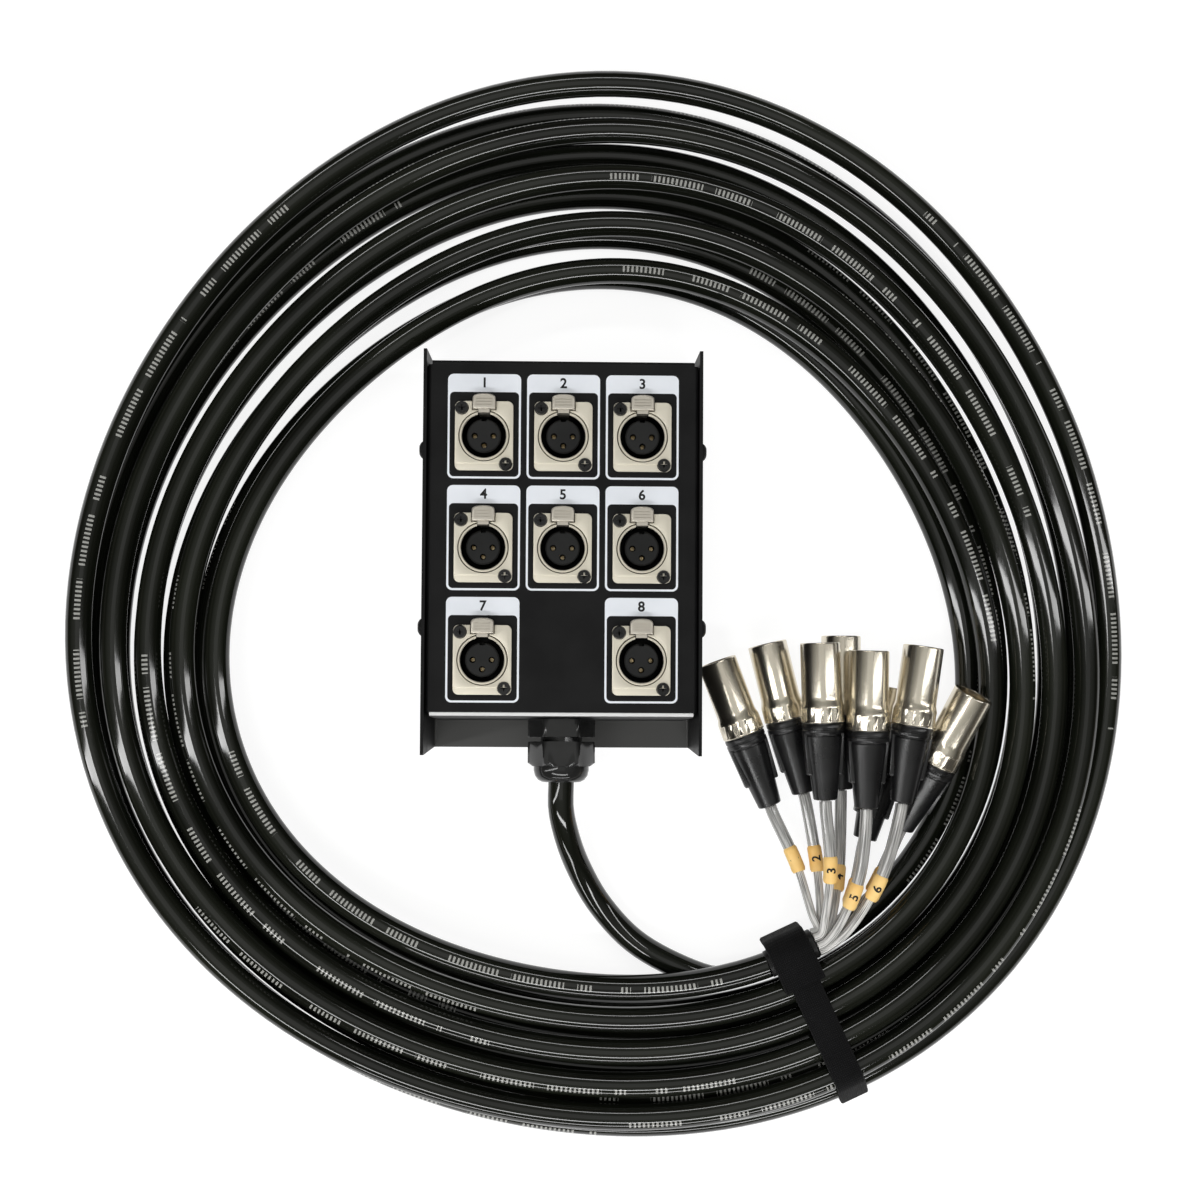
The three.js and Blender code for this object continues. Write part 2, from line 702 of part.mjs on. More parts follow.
// The strap's own frame: +X outwards across the coil, +Y up and +Z along the cable, back from its end
function strap() {
  const place = new THREE.Vector3(0, 0, sleeveBack).applyMatrix4(sleeveFrame);
  const across = new THREE.Vector3(sleeveAlong.y, -sleeveAlong.x, 0);
  const section = (turns) => {
    const offset = tubePoint(turns + strapTurns).sub(place);
    return new THREE.Vector2(offset.dot(across), offset.z);
  };
  const outside = [section(layerTurns), section(layerTurns + 1)];
  const corners = [section(0), ...outside, new THREE.Vector2()];
  const inside = cableRadius + strapSlack;
  const loop = (outer, inner, width) => {
    const shape = new THREE.Shape(bandOutline(corners, outer));
    shape.holes.push(new THREE.Path(bandOutline(corners, inner)));
    return plate(shape, -width * half, width * half);
  };
  const outer = inside + strapThick;
  const band = solid(loop(outer, inside, strapWidth));
  const head = solid(loop(outer + strapHeadThick, inside + strapThick * half, strapHeadWidth));
  const low = [-cableDiameter * 2, -layerRise, -strapHeadWidth];
  const high = [strapHeadReach, cableDiameter * 2, strapHeadWidth];
  const placed = surface(band.add(head.intersect(solid(block(low, high)))));
  const frame = new THREE.Matrix4().makeBasis(across, new THREE.Vector3(0, 0, 1), sleeveAlong.clone().negate());
  return named("coil_strap", placed.applyMatrix4(frame.setPosition(place)), webbing);
}

function sleeve() {
  const outline = [
    [0, turnedGap],
    [sleeveStart, turnedGap],
    [sleeveStart, sleeveBack],
    [sleeveEnd, sleeveLength],
    [0, sleeveLength],
  ];
  return named("breakout_sleeve", turned(outline, bootSides).applyMatrix4(sleeveFrame), rubber);
}

// A plug's own frame: +Z towards its rim, with z = 0 where the metal shell meets the boot
function plugFrame({ rim, heading, rise }) {
  const turn = new THREE.Matrix4().makeRotationZ(heading * degree);
  turn.multiply(new THREE.Matrix4().makeRotationY((90 - rise) * degree));
  const back = new THREE.Vector3(0, 0, -shellLength).applyMatrix4(turn);
  return turn.setPosition(new THREE.Vector3(...rim).add(back));
}

function plugShell(name, frame) {
  const floor = shellLength - shellBoreDepth;
  const body = turned(
    [
      [0, turnedGap],
      [collarDiameter, turnedGap],
      [collarDiameter, collarLength],
      [shellDiameter, collarLength + collarSlope],
      [shellDiameter, shellLength - rimBevel],
      [shellDiameter - rimBevel * 2, shellLength],
      [shellBore, shellLength],
      [shellBore, floor],
      [0, floor],
    ],
    shellSides,
  );
  const pins = contactAngles.map((angle) => {
    const x = -Math.sin(angle * degree) * pinCircle * half;
    const y = Math.cos(angle * degree) * pinCircle * half;
    return rod(pinDiameter, floor - overrun, floor + pinLength, smallSides, x, y);
  });
  return named(name, surface(join(solid(body), pins)).applyMatrix4(frame), nickel);
}

function plugBoot(name, frame) {
  const end = shellLength - plugLength;
  const neck = -bootCollarLength - bootGroove * 2;
  const cone = turned(
    [
      [0, end],
      [bootEnd, end],
      [bootWaist, neck],
      [bootWaist - bootGroove, -bootCollarLength - bootGroove],
      [bootCollar, -bootCollarLength],
      [bootCollar, 0],
      [0, 0],
    ],
    bootSides,
  );
  const shape = new THREE.Shape([
    new THREE.Vector2(-wingFoot * half, -bootCollarLength - wingLength),
    new THREE.Vector2(wingFoot * half, -bootCollarLength - wingLength),
    new THREE.Vector2(wingTop * half, -bootCollarLength * half),
    new THREE.Vector2(-wingTop * half, -bootCollarLength * half),
  ]);
  const wings = barAlongY(shape, -wingThick * half, wingThick * half).rotateZ(Math.PI * half);
  return named(name, surface(join(solid(cone), [wings])).applyMatrix4(frame), rubber);
}

// A tail runs from its seat in the sleeve's end to the back of its plug, through a marker ring
function tail(name, plug, frame, share) {
  const seat = ([left, up], distance) => {
    const radius = tailRing * half;
    return new THREE.Vector3(-up * radius, left * radius, sleeveLength + distance).applyMatrix4(sleeveFrame);
  };
  const end = shellLength - plugLength;
  const behind = (distance) => new THREE.Vector3(0, 0, end - distance).applyMatrix4(frame);
  const route = [
    seat(plug.seat, turnedGap),
    seat(plug.seat, tailStraight),
    ...plug.way.map((place) => new THREE.Vector3(...place)),
    behind(tailStraight),
    behind(turnedGap),
  ];
  const curve = new THREE.CatmullRomCurve3(route, false, "centripetal");
  const tube = solid(tubeAlong(curve, tailDiameter, tailSides, tailSteps));
  const turn = new THREE.Quaternion().setFromUnitVectors(new THREE.Vector3(0, 0, 1), curve.getTangentAt(share));
  const ring = rod(markerDiameter, -markerLength * half, markerLength * half, tailSides).applyQuaternion(turn);
  ring.translate(...curve.getPointAt(share).toArray());
  return named(name, surface(join(tube, [ring])), tailJacket);
}

function lineEnds() {
  const group = new THREE.Group();
  plugs.forEach((plug, index) => {
    const frame = plugFrame(plug);
    const number = index + 1;
    group.add(
      tail(`tail_${number}`, plug, frame, markerShares[index]),
      plugShell(`plug_${number}_shell`, frame),
      plugBoot(`plug_${number}_boot`, frame),
    );
  });
  return group;
}

const snake = new THREE.Group();
snake.add(baseTray(), frontPanel(), sockets(), gland(), cable(), strap(), sleeve(), lineEnds());
console.log(`least gap between turns of the coil: ${leastCoilGap().toFixed(2)} mm`);

export default snake;
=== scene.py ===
# %% [markdown]
# # A stage box snake
#
# This lesson dresses a stage box: a steel box with eight sockets, a long multicore cable that
# lies in a coil, and eight plugs that fan out of the cable's end. The exact frame comes from the
# CAD model. Each step below builds one real piece, or mixes one real finish, on top of that
# frame.

# %% Load the frame and the tools
import math

import bmesh
import bpy
from mathutils import Matrix, Vector


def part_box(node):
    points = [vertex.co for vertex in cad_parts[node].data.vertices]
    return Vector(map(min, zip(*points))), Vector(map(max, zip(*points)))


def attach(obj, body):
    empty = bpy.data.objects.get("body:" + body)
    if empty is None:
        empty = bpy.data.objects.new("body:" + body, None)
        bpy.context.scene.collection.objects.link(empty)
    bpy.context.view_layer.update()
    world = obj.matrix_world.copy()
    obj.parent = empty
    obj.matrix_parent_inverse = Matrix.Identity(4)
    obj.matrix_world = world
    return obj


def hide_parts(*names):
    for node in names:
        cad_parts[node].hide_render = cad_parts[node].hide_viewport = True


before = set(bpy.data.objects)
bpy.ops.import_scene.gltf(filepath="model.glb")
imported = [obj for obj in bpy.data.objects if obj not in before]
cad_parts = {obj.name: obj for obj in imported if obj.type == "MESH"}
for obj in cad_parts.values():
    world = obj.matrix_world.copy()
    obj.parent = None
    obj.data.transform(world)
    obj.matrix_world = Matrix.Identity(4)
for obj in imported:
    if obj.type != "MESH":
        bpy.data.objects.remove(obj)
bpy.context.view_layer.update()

MM = 0.001
HOME = "snake"

# %% [markdown]
# ## The camera
#
# The picture is taken from straight above, through a lens of ordinary length. A focal length that
# is known in pixels of the picture gives the lens: the sensor's width times the share of the
# picture's width.

# %% Place the camera
PICTURE_WIDTH = 1200
FOCAL_PIXELS = 1500
SENSOR_WIDTH = 36
CLIP_END = 20
CAMERA_PLACE, CAMERA_TURN = (0.0017, -0.04413, 0.72648), (1.95, -1.31, 0.34)


def new_object(name, data):
    made = bpy.data.objects.new(name, data)
    bpy.context.scene.collection.objects.link(made)
    return made


camera_data = bpy.data.cameras.new("camera")
camera_data.sensor_width = SENSOR_WIDTH
camera_data.lens = SENSOR_WIDTH * FOCAL_PIXELS / PICTURE_WIDTH
camera_data.clip_end = CLIP_END
camera = new_object("camera", camera_data)
camera.location = CAMERA_PLACE
camera.rotation_euler = [math.radians(angle) for angle in CAMERA_TURN]
bpy.context.scene.camera = camera
print("lens:", camera_data.lens, "mm")

# %% [markdown]
# ## A mesh from rings of points
#
# Most pieces here are lofts: rings of points with faces between one ring and the next. A turned
# knob, a cable and a strap all come from the same helper. The ends are closed with one face each,
# or the last ring is joined to the first. Faces point outwards when each ring runs anticlockwise,
# seen from ahead.

# %% Define the loft
SHARP, TUBE_SHARP = 35, 50
WELD = 1e-7
MANY_SIDES, USUAL_SIDES, SOME_SIDES, FEW_SIDES = 96, 64, 48, 24


def raw_mesh(name, vertices, faces=()):
    mesh = bpy.data.meshes.new(name)
    mesh.from_pydata([tuple(v) for v in vertices], [], faces)
    return mesh


def smoothed(mesh, sharp=SHARP):
    mesh.shade_smooth()
    mesh.set_sharp_from_angle(angle=math.radians(sharp))
    return mesh


def mesh_piece(name, vertices, faces, sharp=SHARP):
    mesh = raw_mesh(name, vertices, faces)
    model = bmesh.new()
    model.from_mesh(mesh)
    bmesh.ops.remove_doubles(model, verts=model.verts, dist=WELD)
    bmesh.ops.recalc_face_normals(model, faces=model.faces)
    model.to_mesh(mesh)
    model.free()
    return new_object(name, smoothed(mesh, sharp))


def loft_faces(rings, around, looped=False):
    faces = []
    last = rings if looped else rings - 1
    for i in range(last):
        for k in range(around):
            a, b = i * around + k, i * around + (k + 1) % around
            c, d = (i + 1) % rings * around + (k + 1) % around, (i + 1) % rings * around + k
            faces.append((a, b, c, d))
    if not looped:
        faces.append(tuple(reversed(range(around))))
        faces.append(tuple(range((rings - 1) * around, rings * around)))
    return faces


def turned(name, outline, around=USUAL_SIDES, shape=None):
    """A turned piece about +Z. outline holds (radius, height); shape may bend each ring's radius.

    An outline that starts on the axis is closed at both ends, and any other makes a ring.
    """
    vertices = []
    for radius, height in outline:
        for k in range(around):
            angle = 2 * math.pi * k / around
            r = shape(angle, radius, height) if shape else radius
            vertices.append((r * math.cos(angle), r * math.sin(angle), height))
    return mesh_piece(name, vertices, loft_faces(len(outline), around, outline[0][0] > 0))


def move(piece, matrix):
    piece.data.transform(matrix)
    return piece


# %% [markdown]
# ## The cable's route
#
# A cable is a fixed length of something springy, so its route is settled before its look. This
# one leaves the box through a gland, dips to the floor and lies in ten loops: out through the
# lower layer, up in half a turn, and back in through the upper layer. A formula with a few waves
# gives the loops the hand-wound swell of the real coil, and a short list of places leads the
# cable out of the gland.

# %% Work out the coil
COIL_CENTRE = Vector((0.018, -0.028, 0))
COIL_RADIUS = 0.1701
COIL_WAVES = ((0.0144, 1, -88.5), (0.0049, 2, -11.6), (0.0058, 3, -39))
PITCH = 0.0152
PITCH_WAVES = ((0.0033, 1, 93.5), (0.00115, 2, -87.5))
CABLE_DIAMETER = 0.012
LAYER_RISE = 0.0125
COIL_START = -70
LAYER_TURNS, CLIMB_TURNS = 5, 0.5
RETURN_SHARE = 1.15
LAST_TURN = LAYER_TURNS + CLIMB_TURNS + (LAYER_TURNS - CLIMB_TURNS)
STRAP_ANGLE = -60
STRAP_LIFT, STRAP_FALL = 0.0028, 8
STRAP_TURNS = (STRAP_ANGLE - COIL_START) / 360
TANGENT_STEP = STRAP_TURNS / 24
SLEEVE_BACK, SLEEVE_FRONT = 0.012, 0.0125
COIL_TURNS = LAST_TURN + STRAP_TURNS - SLEEVE_BACK / (2 * math.pi * COIL_RADIUS)
FLOOR_GAP = 0.00005
FLOOR_LEVEL = CABLE_DIAMETER / 2 + FLOOR_GAP


def wave(angle, swells, at):
    return math.cos(swells * math.radians(angle - at))


def coil_point(turns):
    angle = COIL_START + 360 * turns
    reversal = LAYER_TURNS + CLIMB_TURNS / 2
    place = turns if turns < reversal else reversal - (turns - reversal) * RETURN_SHARE
    radius = COIL_RADIUS + sum(size * wave(angle, n, at) for size, n, at in COIL_WAVES)
    radius += place * (PITCH + sum(size * wave(angle, n, at) for size, n, at in PITCH_WAVES))
    climb = min(max((turns - LAYER_TURNS) / CLIMB_TURNS, 0), 1)
    z = FLOOR_LEVEL + LAYER_RISE * climb * climb * (3 - 2 * climb)
    z += STRAP_LIFT * max(0, wave(angle, 1, STRAP_ANGLE)) ** STRAP_FALL
    a = math.radians(angle)
    return COIL_CENTRE + Vector((radius * math.cos(a), radius * math.sin(a), z))


def coil_tangent(turns):
    return (coil_point(turns + TANGENT_STEP) - coil_point(turns - TANGENT_STEP)).normalized()


print("the coil's turns:", round(COIL_TURNS, 3))

# %% [markdown]
# ## From places to a smooth curve
#
# A centripetal spline runs through each place without loops or overshoot, as a springy cable does.
# The curve is then cut into even steps, so that a pattern along the cable keeps its scale.

# %% Run a smooth curve through places
SPLINE_STEPS, CLOSEST, TINY, STEEP = 24, 1e-4, 1e-12, 0.9


def spline(places):
    points = [2 * places[0] - places[1], *places, 2 * places[-1] - places[-2]]
    curve = []
    for p0, p1, p2, p3 in zip(points, points[1:], points[2:], points[3:]):
        pairs = ((p0, p1), (p1, p2), (p2, p3))
        d0, d1, d2 = [max((b - a).length ** 0.5, CLOSEST) for a, b in pairs]
        m1 = ((p1 - p0) / d0 - (p2 - p0) / (d0 + d1) + (p2 - p1) / d1) * d1
        m2 = ((p2 - p1) / d1 - (p3 - p1) / (d1 + d2) + (p3 - p2) / d2) * d1
        for step in range(SPLINE_STEPS):
            t = step / SPLINE_STEPS
            curve.append(
                p1 * (2 * t**3 - 3 * t**2 + 1) + m1 * (t**3 - 2 * t**2 + t)
                + p2 * (3 * t**2 - 2 * t**3) + m2 * (t**3 - t**2)
            )
    return curve + [places[-1]]


def even(points, step):
    """The same line in even steps, and how far along each point lies."""
    far = [0.0]
    for a, b in zip(points, points[1:]):
        far.append(far[-1] + (b - a).length)
    count = max(2, round(far[-1] / step))
    line, i = [], 0
    for n in range(count + 1):
        want = far[-1] * n / count
        while i < len(far) - 2 and far[i + 1] < want:
            i += 1
        share = (want - far[i]) / max(far[i + 1] - far[i], TINY)
        line.append(points[i].lerp(points[i + 1], min(share, 1)))
    return line, far[-1]


def tube(name, line, radius, around):
    """A closed tube along a line, with a UV map in metres along it and in shares round it."""
    length = sum((b - a).length for a, b in zip(line, line[1:]))
    radii = radius if callable(radius) else (lambda share: radius)
    side = None
    vertices = []
    for i, centre in enumerate(line):
        ahead = (line[min(i + 1, len(line) - 1)] - line[max(i - 1, 0)]).normalized()
        if side is None:
            side = ahead.orthogonal() if abs(ahead.z) > STEEP else Vector((0, 0, 1)).cross(ahead)
        side = (side - ahead * side.dot(ahead)).normalized()
        up = ahead.cross(side)
        r = radii(i / (len(line) - 1))
        for k in range(around):
            angle = 2 * math.pi * k / around
            vertices.append(centre + side * (r * math.cos(angle)) + up * (r * math.sin(angle)))
    mesh = raw_mesh(name, vertices, loft_faces(len(line), around))
    uv = mesh.uv_layers.new(name="along")
    for polygon in mesh.polygons:
        corners = [mesh.loops[loop].vertex_index for loop in polygon.loop_indices]
        seam = len(corners) == 4 and {0, around - 1} <= {corner % around for corner in corners}
        for loop, corner in zip(polygon.loop_indices, corners):
            turn = 1 if seam and corner % around == 0 else corner % around / around
            uv.data[loop].uv = (length * (corner // around) / (len(line) - 1), turn)
    return new_object(name, smoothed(mesh, TUBE_SHARP))


# %% [markdown]
# ## The multicore cable
#
# The main cable is one unbroken tube, from the gland's mouth to the sleeve where it splits. It is
# 12 mm thick and about thirteen metres long. The gland's own axis leans with the end wall of the
# box, so the first stretch is worked out from that lean.

# %% Lay the multicore cable
PANEL_TOP = 0.057
WALL_TOP, WALL_LEAN = -0.0735, math.radians(4.1)
GLAND_HEIGHT = 0.027
GLAND_SEAT = WALL_TOP - (PANEL_TOP - GLAND_HEIGHT) * math.tan(WALL_LEAN)
gland_turn = Matrix.Rotation(math.pi / 2 - WALL_LEAN, 4, "X")
gland_frame = Matrix.Translation((0, GLAND_SEAT, GLAND_HEIGHT)) @ gland_turn
LEAD_START, GLAND_MOUTH = 0.0172, 0.0293
LOOP_POINTS, CABLE_STEP, CABLE_SIDES = 1600, 0.0045, 18
LEAD_WAY = [
    Vector((0, -0.117, 0.0286)),
    Vector((0.003, -0.131, 0.0235)),
    Vector((0.0085, -0.146, 0.0155)),
    Vector((0.0185, -0.164, 0.009)),
    Vector((0.0345, -0.1815, 0.0066)),
    Vector((0.054, -0.193, 0.0066)),
]

first = coil_point(0)
straight = first - coil_tangent(0) * (CABLE_DIAMETER / 2)
lead_places = [gland_frame @ Vector((0, 0, far)) for far in (LEAD_START, GLAND_MOUTH)]
lead_places += [*LEAD_WAY, straight, first]
loops = [coil_point(COIL_TURNS * n / LOOP_POINTS) for n in range(LOOP_POINTS + 1)]
cable_line, cable_length = even(spline(lead_places) + loops[1:], CABLE_STEP)
multicore = tube("multicore_cable", cable_line, CABLE_DIAMETER / 2, CABLE_SIDES)
print("cable length:", round(cable_length, 3), "m in", len(cable_line), "rings")

# %% [markdown]
# ## The tails and where the plugs lie
#
# The cable's end splits into eight thin tails. Each runs from its seat in the sleeve, through two
# places, to the back of its plug. A plug's own frame has +Z towards its rim and z = 0 where the
# metal meets the rubber boot.

# %% Lay the tails
PLUG_LENGTH, SHELL_LENGTH = 0.073, 0.0375
TAIL_DIAMETER, TAIL_RING, TAIL_STRAIGHT = 0.004, 0.0049, 0.004
TAIL_STEP, TAIL_SIDES = 0.0015, 14
GAP = 0.0003
MARKER_SHARES = (0.58, 0.55, 0.52, 0.45, 0.42, 0.5, 0.55, 0.6)
PLUGS = [
    ((0.074, -0.0485, 0.0104), 110.5, 0, (1, 0),
     ((0.1182, -0.167, 0.0205), (0.112, -0.145, 0.014))),
    ((0.098, -0.04, 0.0104), 104, 0, (0.62, -0.78),
     ((0.1225, -0.1665, 0.0175), (0.1215, -0.145, 0.013))),
    ((0.1205, -0.0395, 0.028), 92, 0, (0.62, 0.78),
     ((0.1235, -0.166, 0.026), (0.1255, -0.145, 0.028))),
    ((0.1335, -0.036, 0.0104), 90, 0, (0, 0),
     ((0.1272, -0.1694, 0.0209), (0.132, -0.147, 0.013))),
    ((0.143, -0.043, 0.0305), 89, 0, (-0.22, 0.975),
     ((0.13, -0.1705, 0.027), (0.1385, -0.148, 0.03))),
    ((0.1683, -0.041, 0.0312), 82, 0, (-0.9, 0.435),
     ((0.135, -0.173, 0.025), (0.1495, -0.147, 0.0295))),
    ((0.1632, -0.062, 0.0104), 75.5, 0, (-0.22, -0.975),
     ((0.1315, -0.1705, 0.0175), (0.1395, -0.155, 0.013))),
    ((0.1919, -0.063, 0.0306), 65.5, 15.5, (-0.9, -0.435),
     ((0.134, -0.174, 0.0195), (0.147, -0.1555, 0.0185))),
]

sleeve_along = coil_tangent(LAST_TURN + STRAP_TURNS)
sleeve_heading = math.atan2(sleeve_along.y, sleeve_along.x)
sleeve_frame = (
    Matrix.Translation(coil_point(COIL_TURNS))
    @ Matrix.Rotation(sleeve_heading, 4, "Z")
    @ Matrix.Rotation(math.pi / 2, 4, "Y")
)
SLEEVE_LENGTH = SLEEVE_BACK + SLEEVE_FRONT


def plug_frame(rim, heading, rise):
    turn = Matrix.Rotation(math.radians(heading), 4, "Z")
    turn = turn @ Matrix.Rotation(math.radians(90 - rise), 4, "Y")
    return Matrix.Translation(Vector(rim) - turn @ Vector((0, 0, SHELL_LENGTH))) @ turn


plug_frames = [plug_frame(*row[:3]) for row in PLUGS]
tail_lines, tails = [], []
for number, (row, at) in enumerate(zip(PLUGS, plug_frames), 1):
    left, up = row[3]
    seat = Vector((-up * TAIL_RING, left * TAIL_RING, SLEEVE_LENGTH + GAP))
    rear = Vector((0, 0, SHELL_LENGTH - PLUG_LENGTH - GAP))
    places = [sleeve_frame @ seat, sleeve_frame @ (seat + Vector((0, 0, TAIL_STRAIGHT - GAP)))]
    places += [Vector(p) for p in row[4]]
    places += [at @ (rear - Vector((0, 0, TAIL_STRAIGHT - GAP))), at @ rear]
    line, length = even(spline(places), TAIL_STEP)
    tail_lines.append((line, length))
    tails.append(tube(f"tail_cord_{number}", line, TAIL_DIAMETER / 2, TAIL_SIDES))
print("tails:", [round(length, 4) for line, length in tail_lines])

# %% [markdown]
# ## Finishes: two shared effects
#
# Nothing real is one flat colour. Two effects are used all over this object, so each is a node
# group with its own inputs. Grain gives a moulded or coated surface its fine bumps and cloudy
# gloss. Brushing gives plated metal its faint lines. Both read Object coordinates, so they need
# no UV map.

# %% Build the effect groups
def new_group(name, kind, inputs, outputs, gives="NodeSocketFloat"):
    """A node group. Each input is given as a default value, or as a kind of socket without one."""
    tree = bpy.data.node_groups.new(name, kind)
    kinds = {float: "NodeSocketFloat", tuple: "NodeSocketVector"}
    for label, value in inputs.items():
        made = tree.interface.new_socket(
            name=label, in_out="INPUT", socket_type=kinds.get(type(value), value)
        )
        if type(value) in kinds:
            made.default_value = value
    for label in outputs:
        tree.interface.new_socket(name=label, in_out="OUTPUT", socket_type=gives)
    return tree, node(tree, "NodeGroupInput").outputs


def feed(tree, target, source):
    """Links an input to another node's output, or gives it a plain value."""
    if isinstance(source, bpy.types.NodeSocket):
        tree.links.new(source, target)
    else:
        target.default_value = source


def node(tree, kind, inputs=(), **settings):
    """A new node. Each input takes a value, an output, or a list of outputs."""
    made = tree.nodes.new(kind)
    for label, value in settings.items():
        setattr(made, label, value)
    for label, value in dict(inputs).items():
        for source in value if isinstance(value, list) else [value]:
            feed(tree, made.inputs[label], source)
    return made


def result(tree, kind, inputs=(), out=0, **settings):
    """A new node's output: the first one, unless it is named."""
    return node(tree, kind, inputs, **settings).outputs[out]


def math_node(tree, operation, *values):
    return result(tree, "ShaderNodeMath", enumerate(values), operation=operation)


def spread(tree, value, low, high, start=0.0, end=1.0):
    """Maps what runs from start to end onto low to high."""
    sizes = {"From Min": start, "From Max": end, "To Min": low, "To Max": high}
    return result(tree, "ShaderNodeMapRange", {"Value": value, **sizes})


def noise(tree, vector, scale, detail):
    inputs = {"Vector": vector, "Scale": scale, "Detail": detail}
    return result(tree, "ShaderNodeTexNoise", inputs, "Fac")


def stretched_noise(tree, vector, stretch, detail):
    """Noise that is drawn out along an axis, because its vector is multiplied first."""
    inputs = enumerate((vector, stretch))
    scaled = result(tree, "ShaderNodeVectorMath", inputs, operation="MULTIPLY")
    return noise(tree, scaled, 1, detail)


def object_place(tree):
    return node(tree, "ShaderNodeTexCoord").outputs["Object"]


FINE_DETAIL, CLOUD_SCALE, CLOUD_DETAIL, CLOUD_RANGE, LINE_DETAIL = 3, 55, 5, (0.3, 0.7), 2


def grain_group():
    tree, given = new_group(
        "Grain", "ShaderNodeTree", {"Size": 400.0, "Gloss low": 0.3, "Gloss high": 0.5},
        ("Roughness", "Height", "Clouds"),
    )
    place = object_place(tree)
    fine = noise(tree, place, given["Size"], FINE_DETAIL)
    clouds = noise(tree, place, CLOUD_SCALE, CLOUD_DETAIL)
    gloss = spread(tree, clouds, given["Gloss low"], given["Gloss high"], *CLOUD_RANGE)
    node(tree, "NodeGroupOutput", {"Roughness": gloss, "Height": fine, "Clouds": clouds})
    return tree


def brush_group():
    tree, given = new_group(
        "Brushing", "ShaderNodeTree",
        {"Stretch": (900.0, 60.0, 900.0), "Gloss low": 0.15, "Gloss high": 0.3},
        ("Roughness", "Height"),
    )
    lines = stretched_noise(tree, object_place(tree), given["Stretch"], LINE_DETAIL)
    gloss = spread(tree, lines, given["Gloss low"], given["Gloss high"])
    node(tree, "NodeGroupOutput", {"Roughness": gloss, "Height": lines})
    return tree


GRAIN, BRUSHING = grain_group(), brush_group()
print("effects:", GRAIN.name, BRUSHING.name)

# %% [markdown]
# Each finish is one shader, fed by an effect. Fixed values stand on the shader itself. A colour
# that belongs to one place only, such as print, is blended over the rest by a mask.

# %% Mix the plain finishes
LINE_BUMP = 0.00002


def effect(tree, group, size, gloss):
    return node(tree, "ShaderNodeGroup", enumerate((size, *gloss)), node_tree=group).outputs


def bump(tree, shader, height, distance, strength):
    inputs = {"Height": height, "Distance": distance, "Strength": strength}
    feed(tree, shader.inputs["Normal"], result(tree, "ShaderNodeBump", inputs))


def new_material(name, colour, values):
    material = bpy.data.materials.new(name)
    material.use_nodes = True
    tree = material.node_tree
    shader = tree.nodes["Principled BSDF"]
    for label, value in {"Base Color": (*colour, 1), **values}.items():
        shader.inputs[label].default_value = value
    return material, tree, shader


def tint(tree, shader, fac, dark, light, low=0.35, high=0.65):
    """A colour that drifts between two near shades."""
    ramp = node(tree, "ShaderNodeValToRGB", {"Fac": fac})
    for stop, place, colour in zip(ramp.color_ramp.elements, (low, high), (dark, light)):
        stop.position = place
        stop.color = (*colour, 1)
    feed(tree, shader.inputs["Base Color"], ramp.outputs["Color"])


def overlay(tree, shader, mask, colour):
    """Blends one more colour over the base colour by a mask."""
    under = shader.inputs["Base Color"].links[0].from_socket
    inputs = {"Factor": mask, "A": under, "B": (*colour, 1)}
    blend = result(tree, "ShaderNodeMix", inputs, "Result", data_type="RGBA")
    feed(tree, shader.inputs["Base Color"], blend)


def grained(name, dark, light, size, gloss, distance, strength, shine=0.3):
    """A coated, moulded or rubbery finish: fine bumps, cloudy gloss and a slight colour drift."""
    material, tree, shader = new_material(name, light, {"Specular IOR Level": shine})
    grain = effect(tree, GRAIN, size, gloss)
    feed(tree, shader.inputs["Roughness"], grain["Roughness"])
    tint(tree, shader, grain["Clouds"], dark, light)
    bump(tree, shader, grain["Height"], distance, strength)
    return material


def plated(name, colour, stretch, gloss, strength, metallic=1.0):
    """A plated metal with faint lines in its gloss."""
    material, tree, shader = new_material(name, colour, {"Metallic": metallic})
    brush = effect(tree, BRUSHING, stretch, gloss)
    feed(tree, shader.inputs["Roughness"], brush["Roughness"])
    bump(tree, shader, brush["Height"], LINE_BUMP, strength)
    return material


moulded_nylon = grained(
    "moulded nylon", (0.015, 0.0152, 0.015), (0.021, 0.0212, 0.021),
    700, (0.1, 0.17), 0.00002, 0.15, 0.35,
)
boot_rubber = grained(
    "boot rubber", (0.0045, 0.0045, 0.0048), (0.009, 0.009, 0.0095),
    900, (0.24, 0.34), 0.00004, 0.3, 0.5,
)
shrink_sleeve = grained(
    "shrink sleeve", (0.005, 0.005, 0.005), (0.009, 0.009, 0.009), 500, (0.35, 0.5), 0.00005, 0.3
)
insert_plastic = grained(
    "insert plastic", (0.009, 0.0092, 0.009), (0.013, 0.0132, 0.013),
    1100, (0.35, 0.5), 0.00003, 0.2, 0.2,
)
bore_black = grained(
    "bore black", (0.0015, 0.0015, 0.0015), (0.003, 0.003, 0.003),
    900, (0.4, 0.55), 0.00003, 0.2, 0.15,
)
black_screw = grained(
    "blackened screw", (0.002, 0.002, 0.002), (0.006, 0.006, 0.006),
    900, (0.25, 0.4), 0.00003, 0.2, 0.4,
)
INK = (900, (0.4, 0.5), 0.00002, 0.1)
label_ink = grained("label ink", (0.74, 0.77, 0.82), (0.79, 0.82, 0.87), *INK)
number_ink = grained("number ink", (0.004, 0.004, 0.0045), (0.008, 0.008, 0.0085), *INK)
satin_nickel = plated("satin nickel", (0.66, 0.62, 0.52), (260, 1800, 260), (0.44, 0.58), 0.2, 0.7)
# The tab uses the plate's nickel made darker and greyer: painted shade.
tab_nickel_painted_shade = plated("tab nickel painted shade", (0.52, 0.485, 0.42), (260, 1800, 260), (0.4, 0.52), 0.2, 0.75)
polished_nickel = plated(
    "polished nickel", (0.73, 0.675, 0.565), (700, 700, 700), (0.18, 0.27), 0.02
)
contact_brass = plated("contact brass", (0.55, 0.46, 0.3), (1200, 1200, 1200), (0.3, 0.4), 0.1)
print("finishes:", [material.name for material in bpy.data.materials])

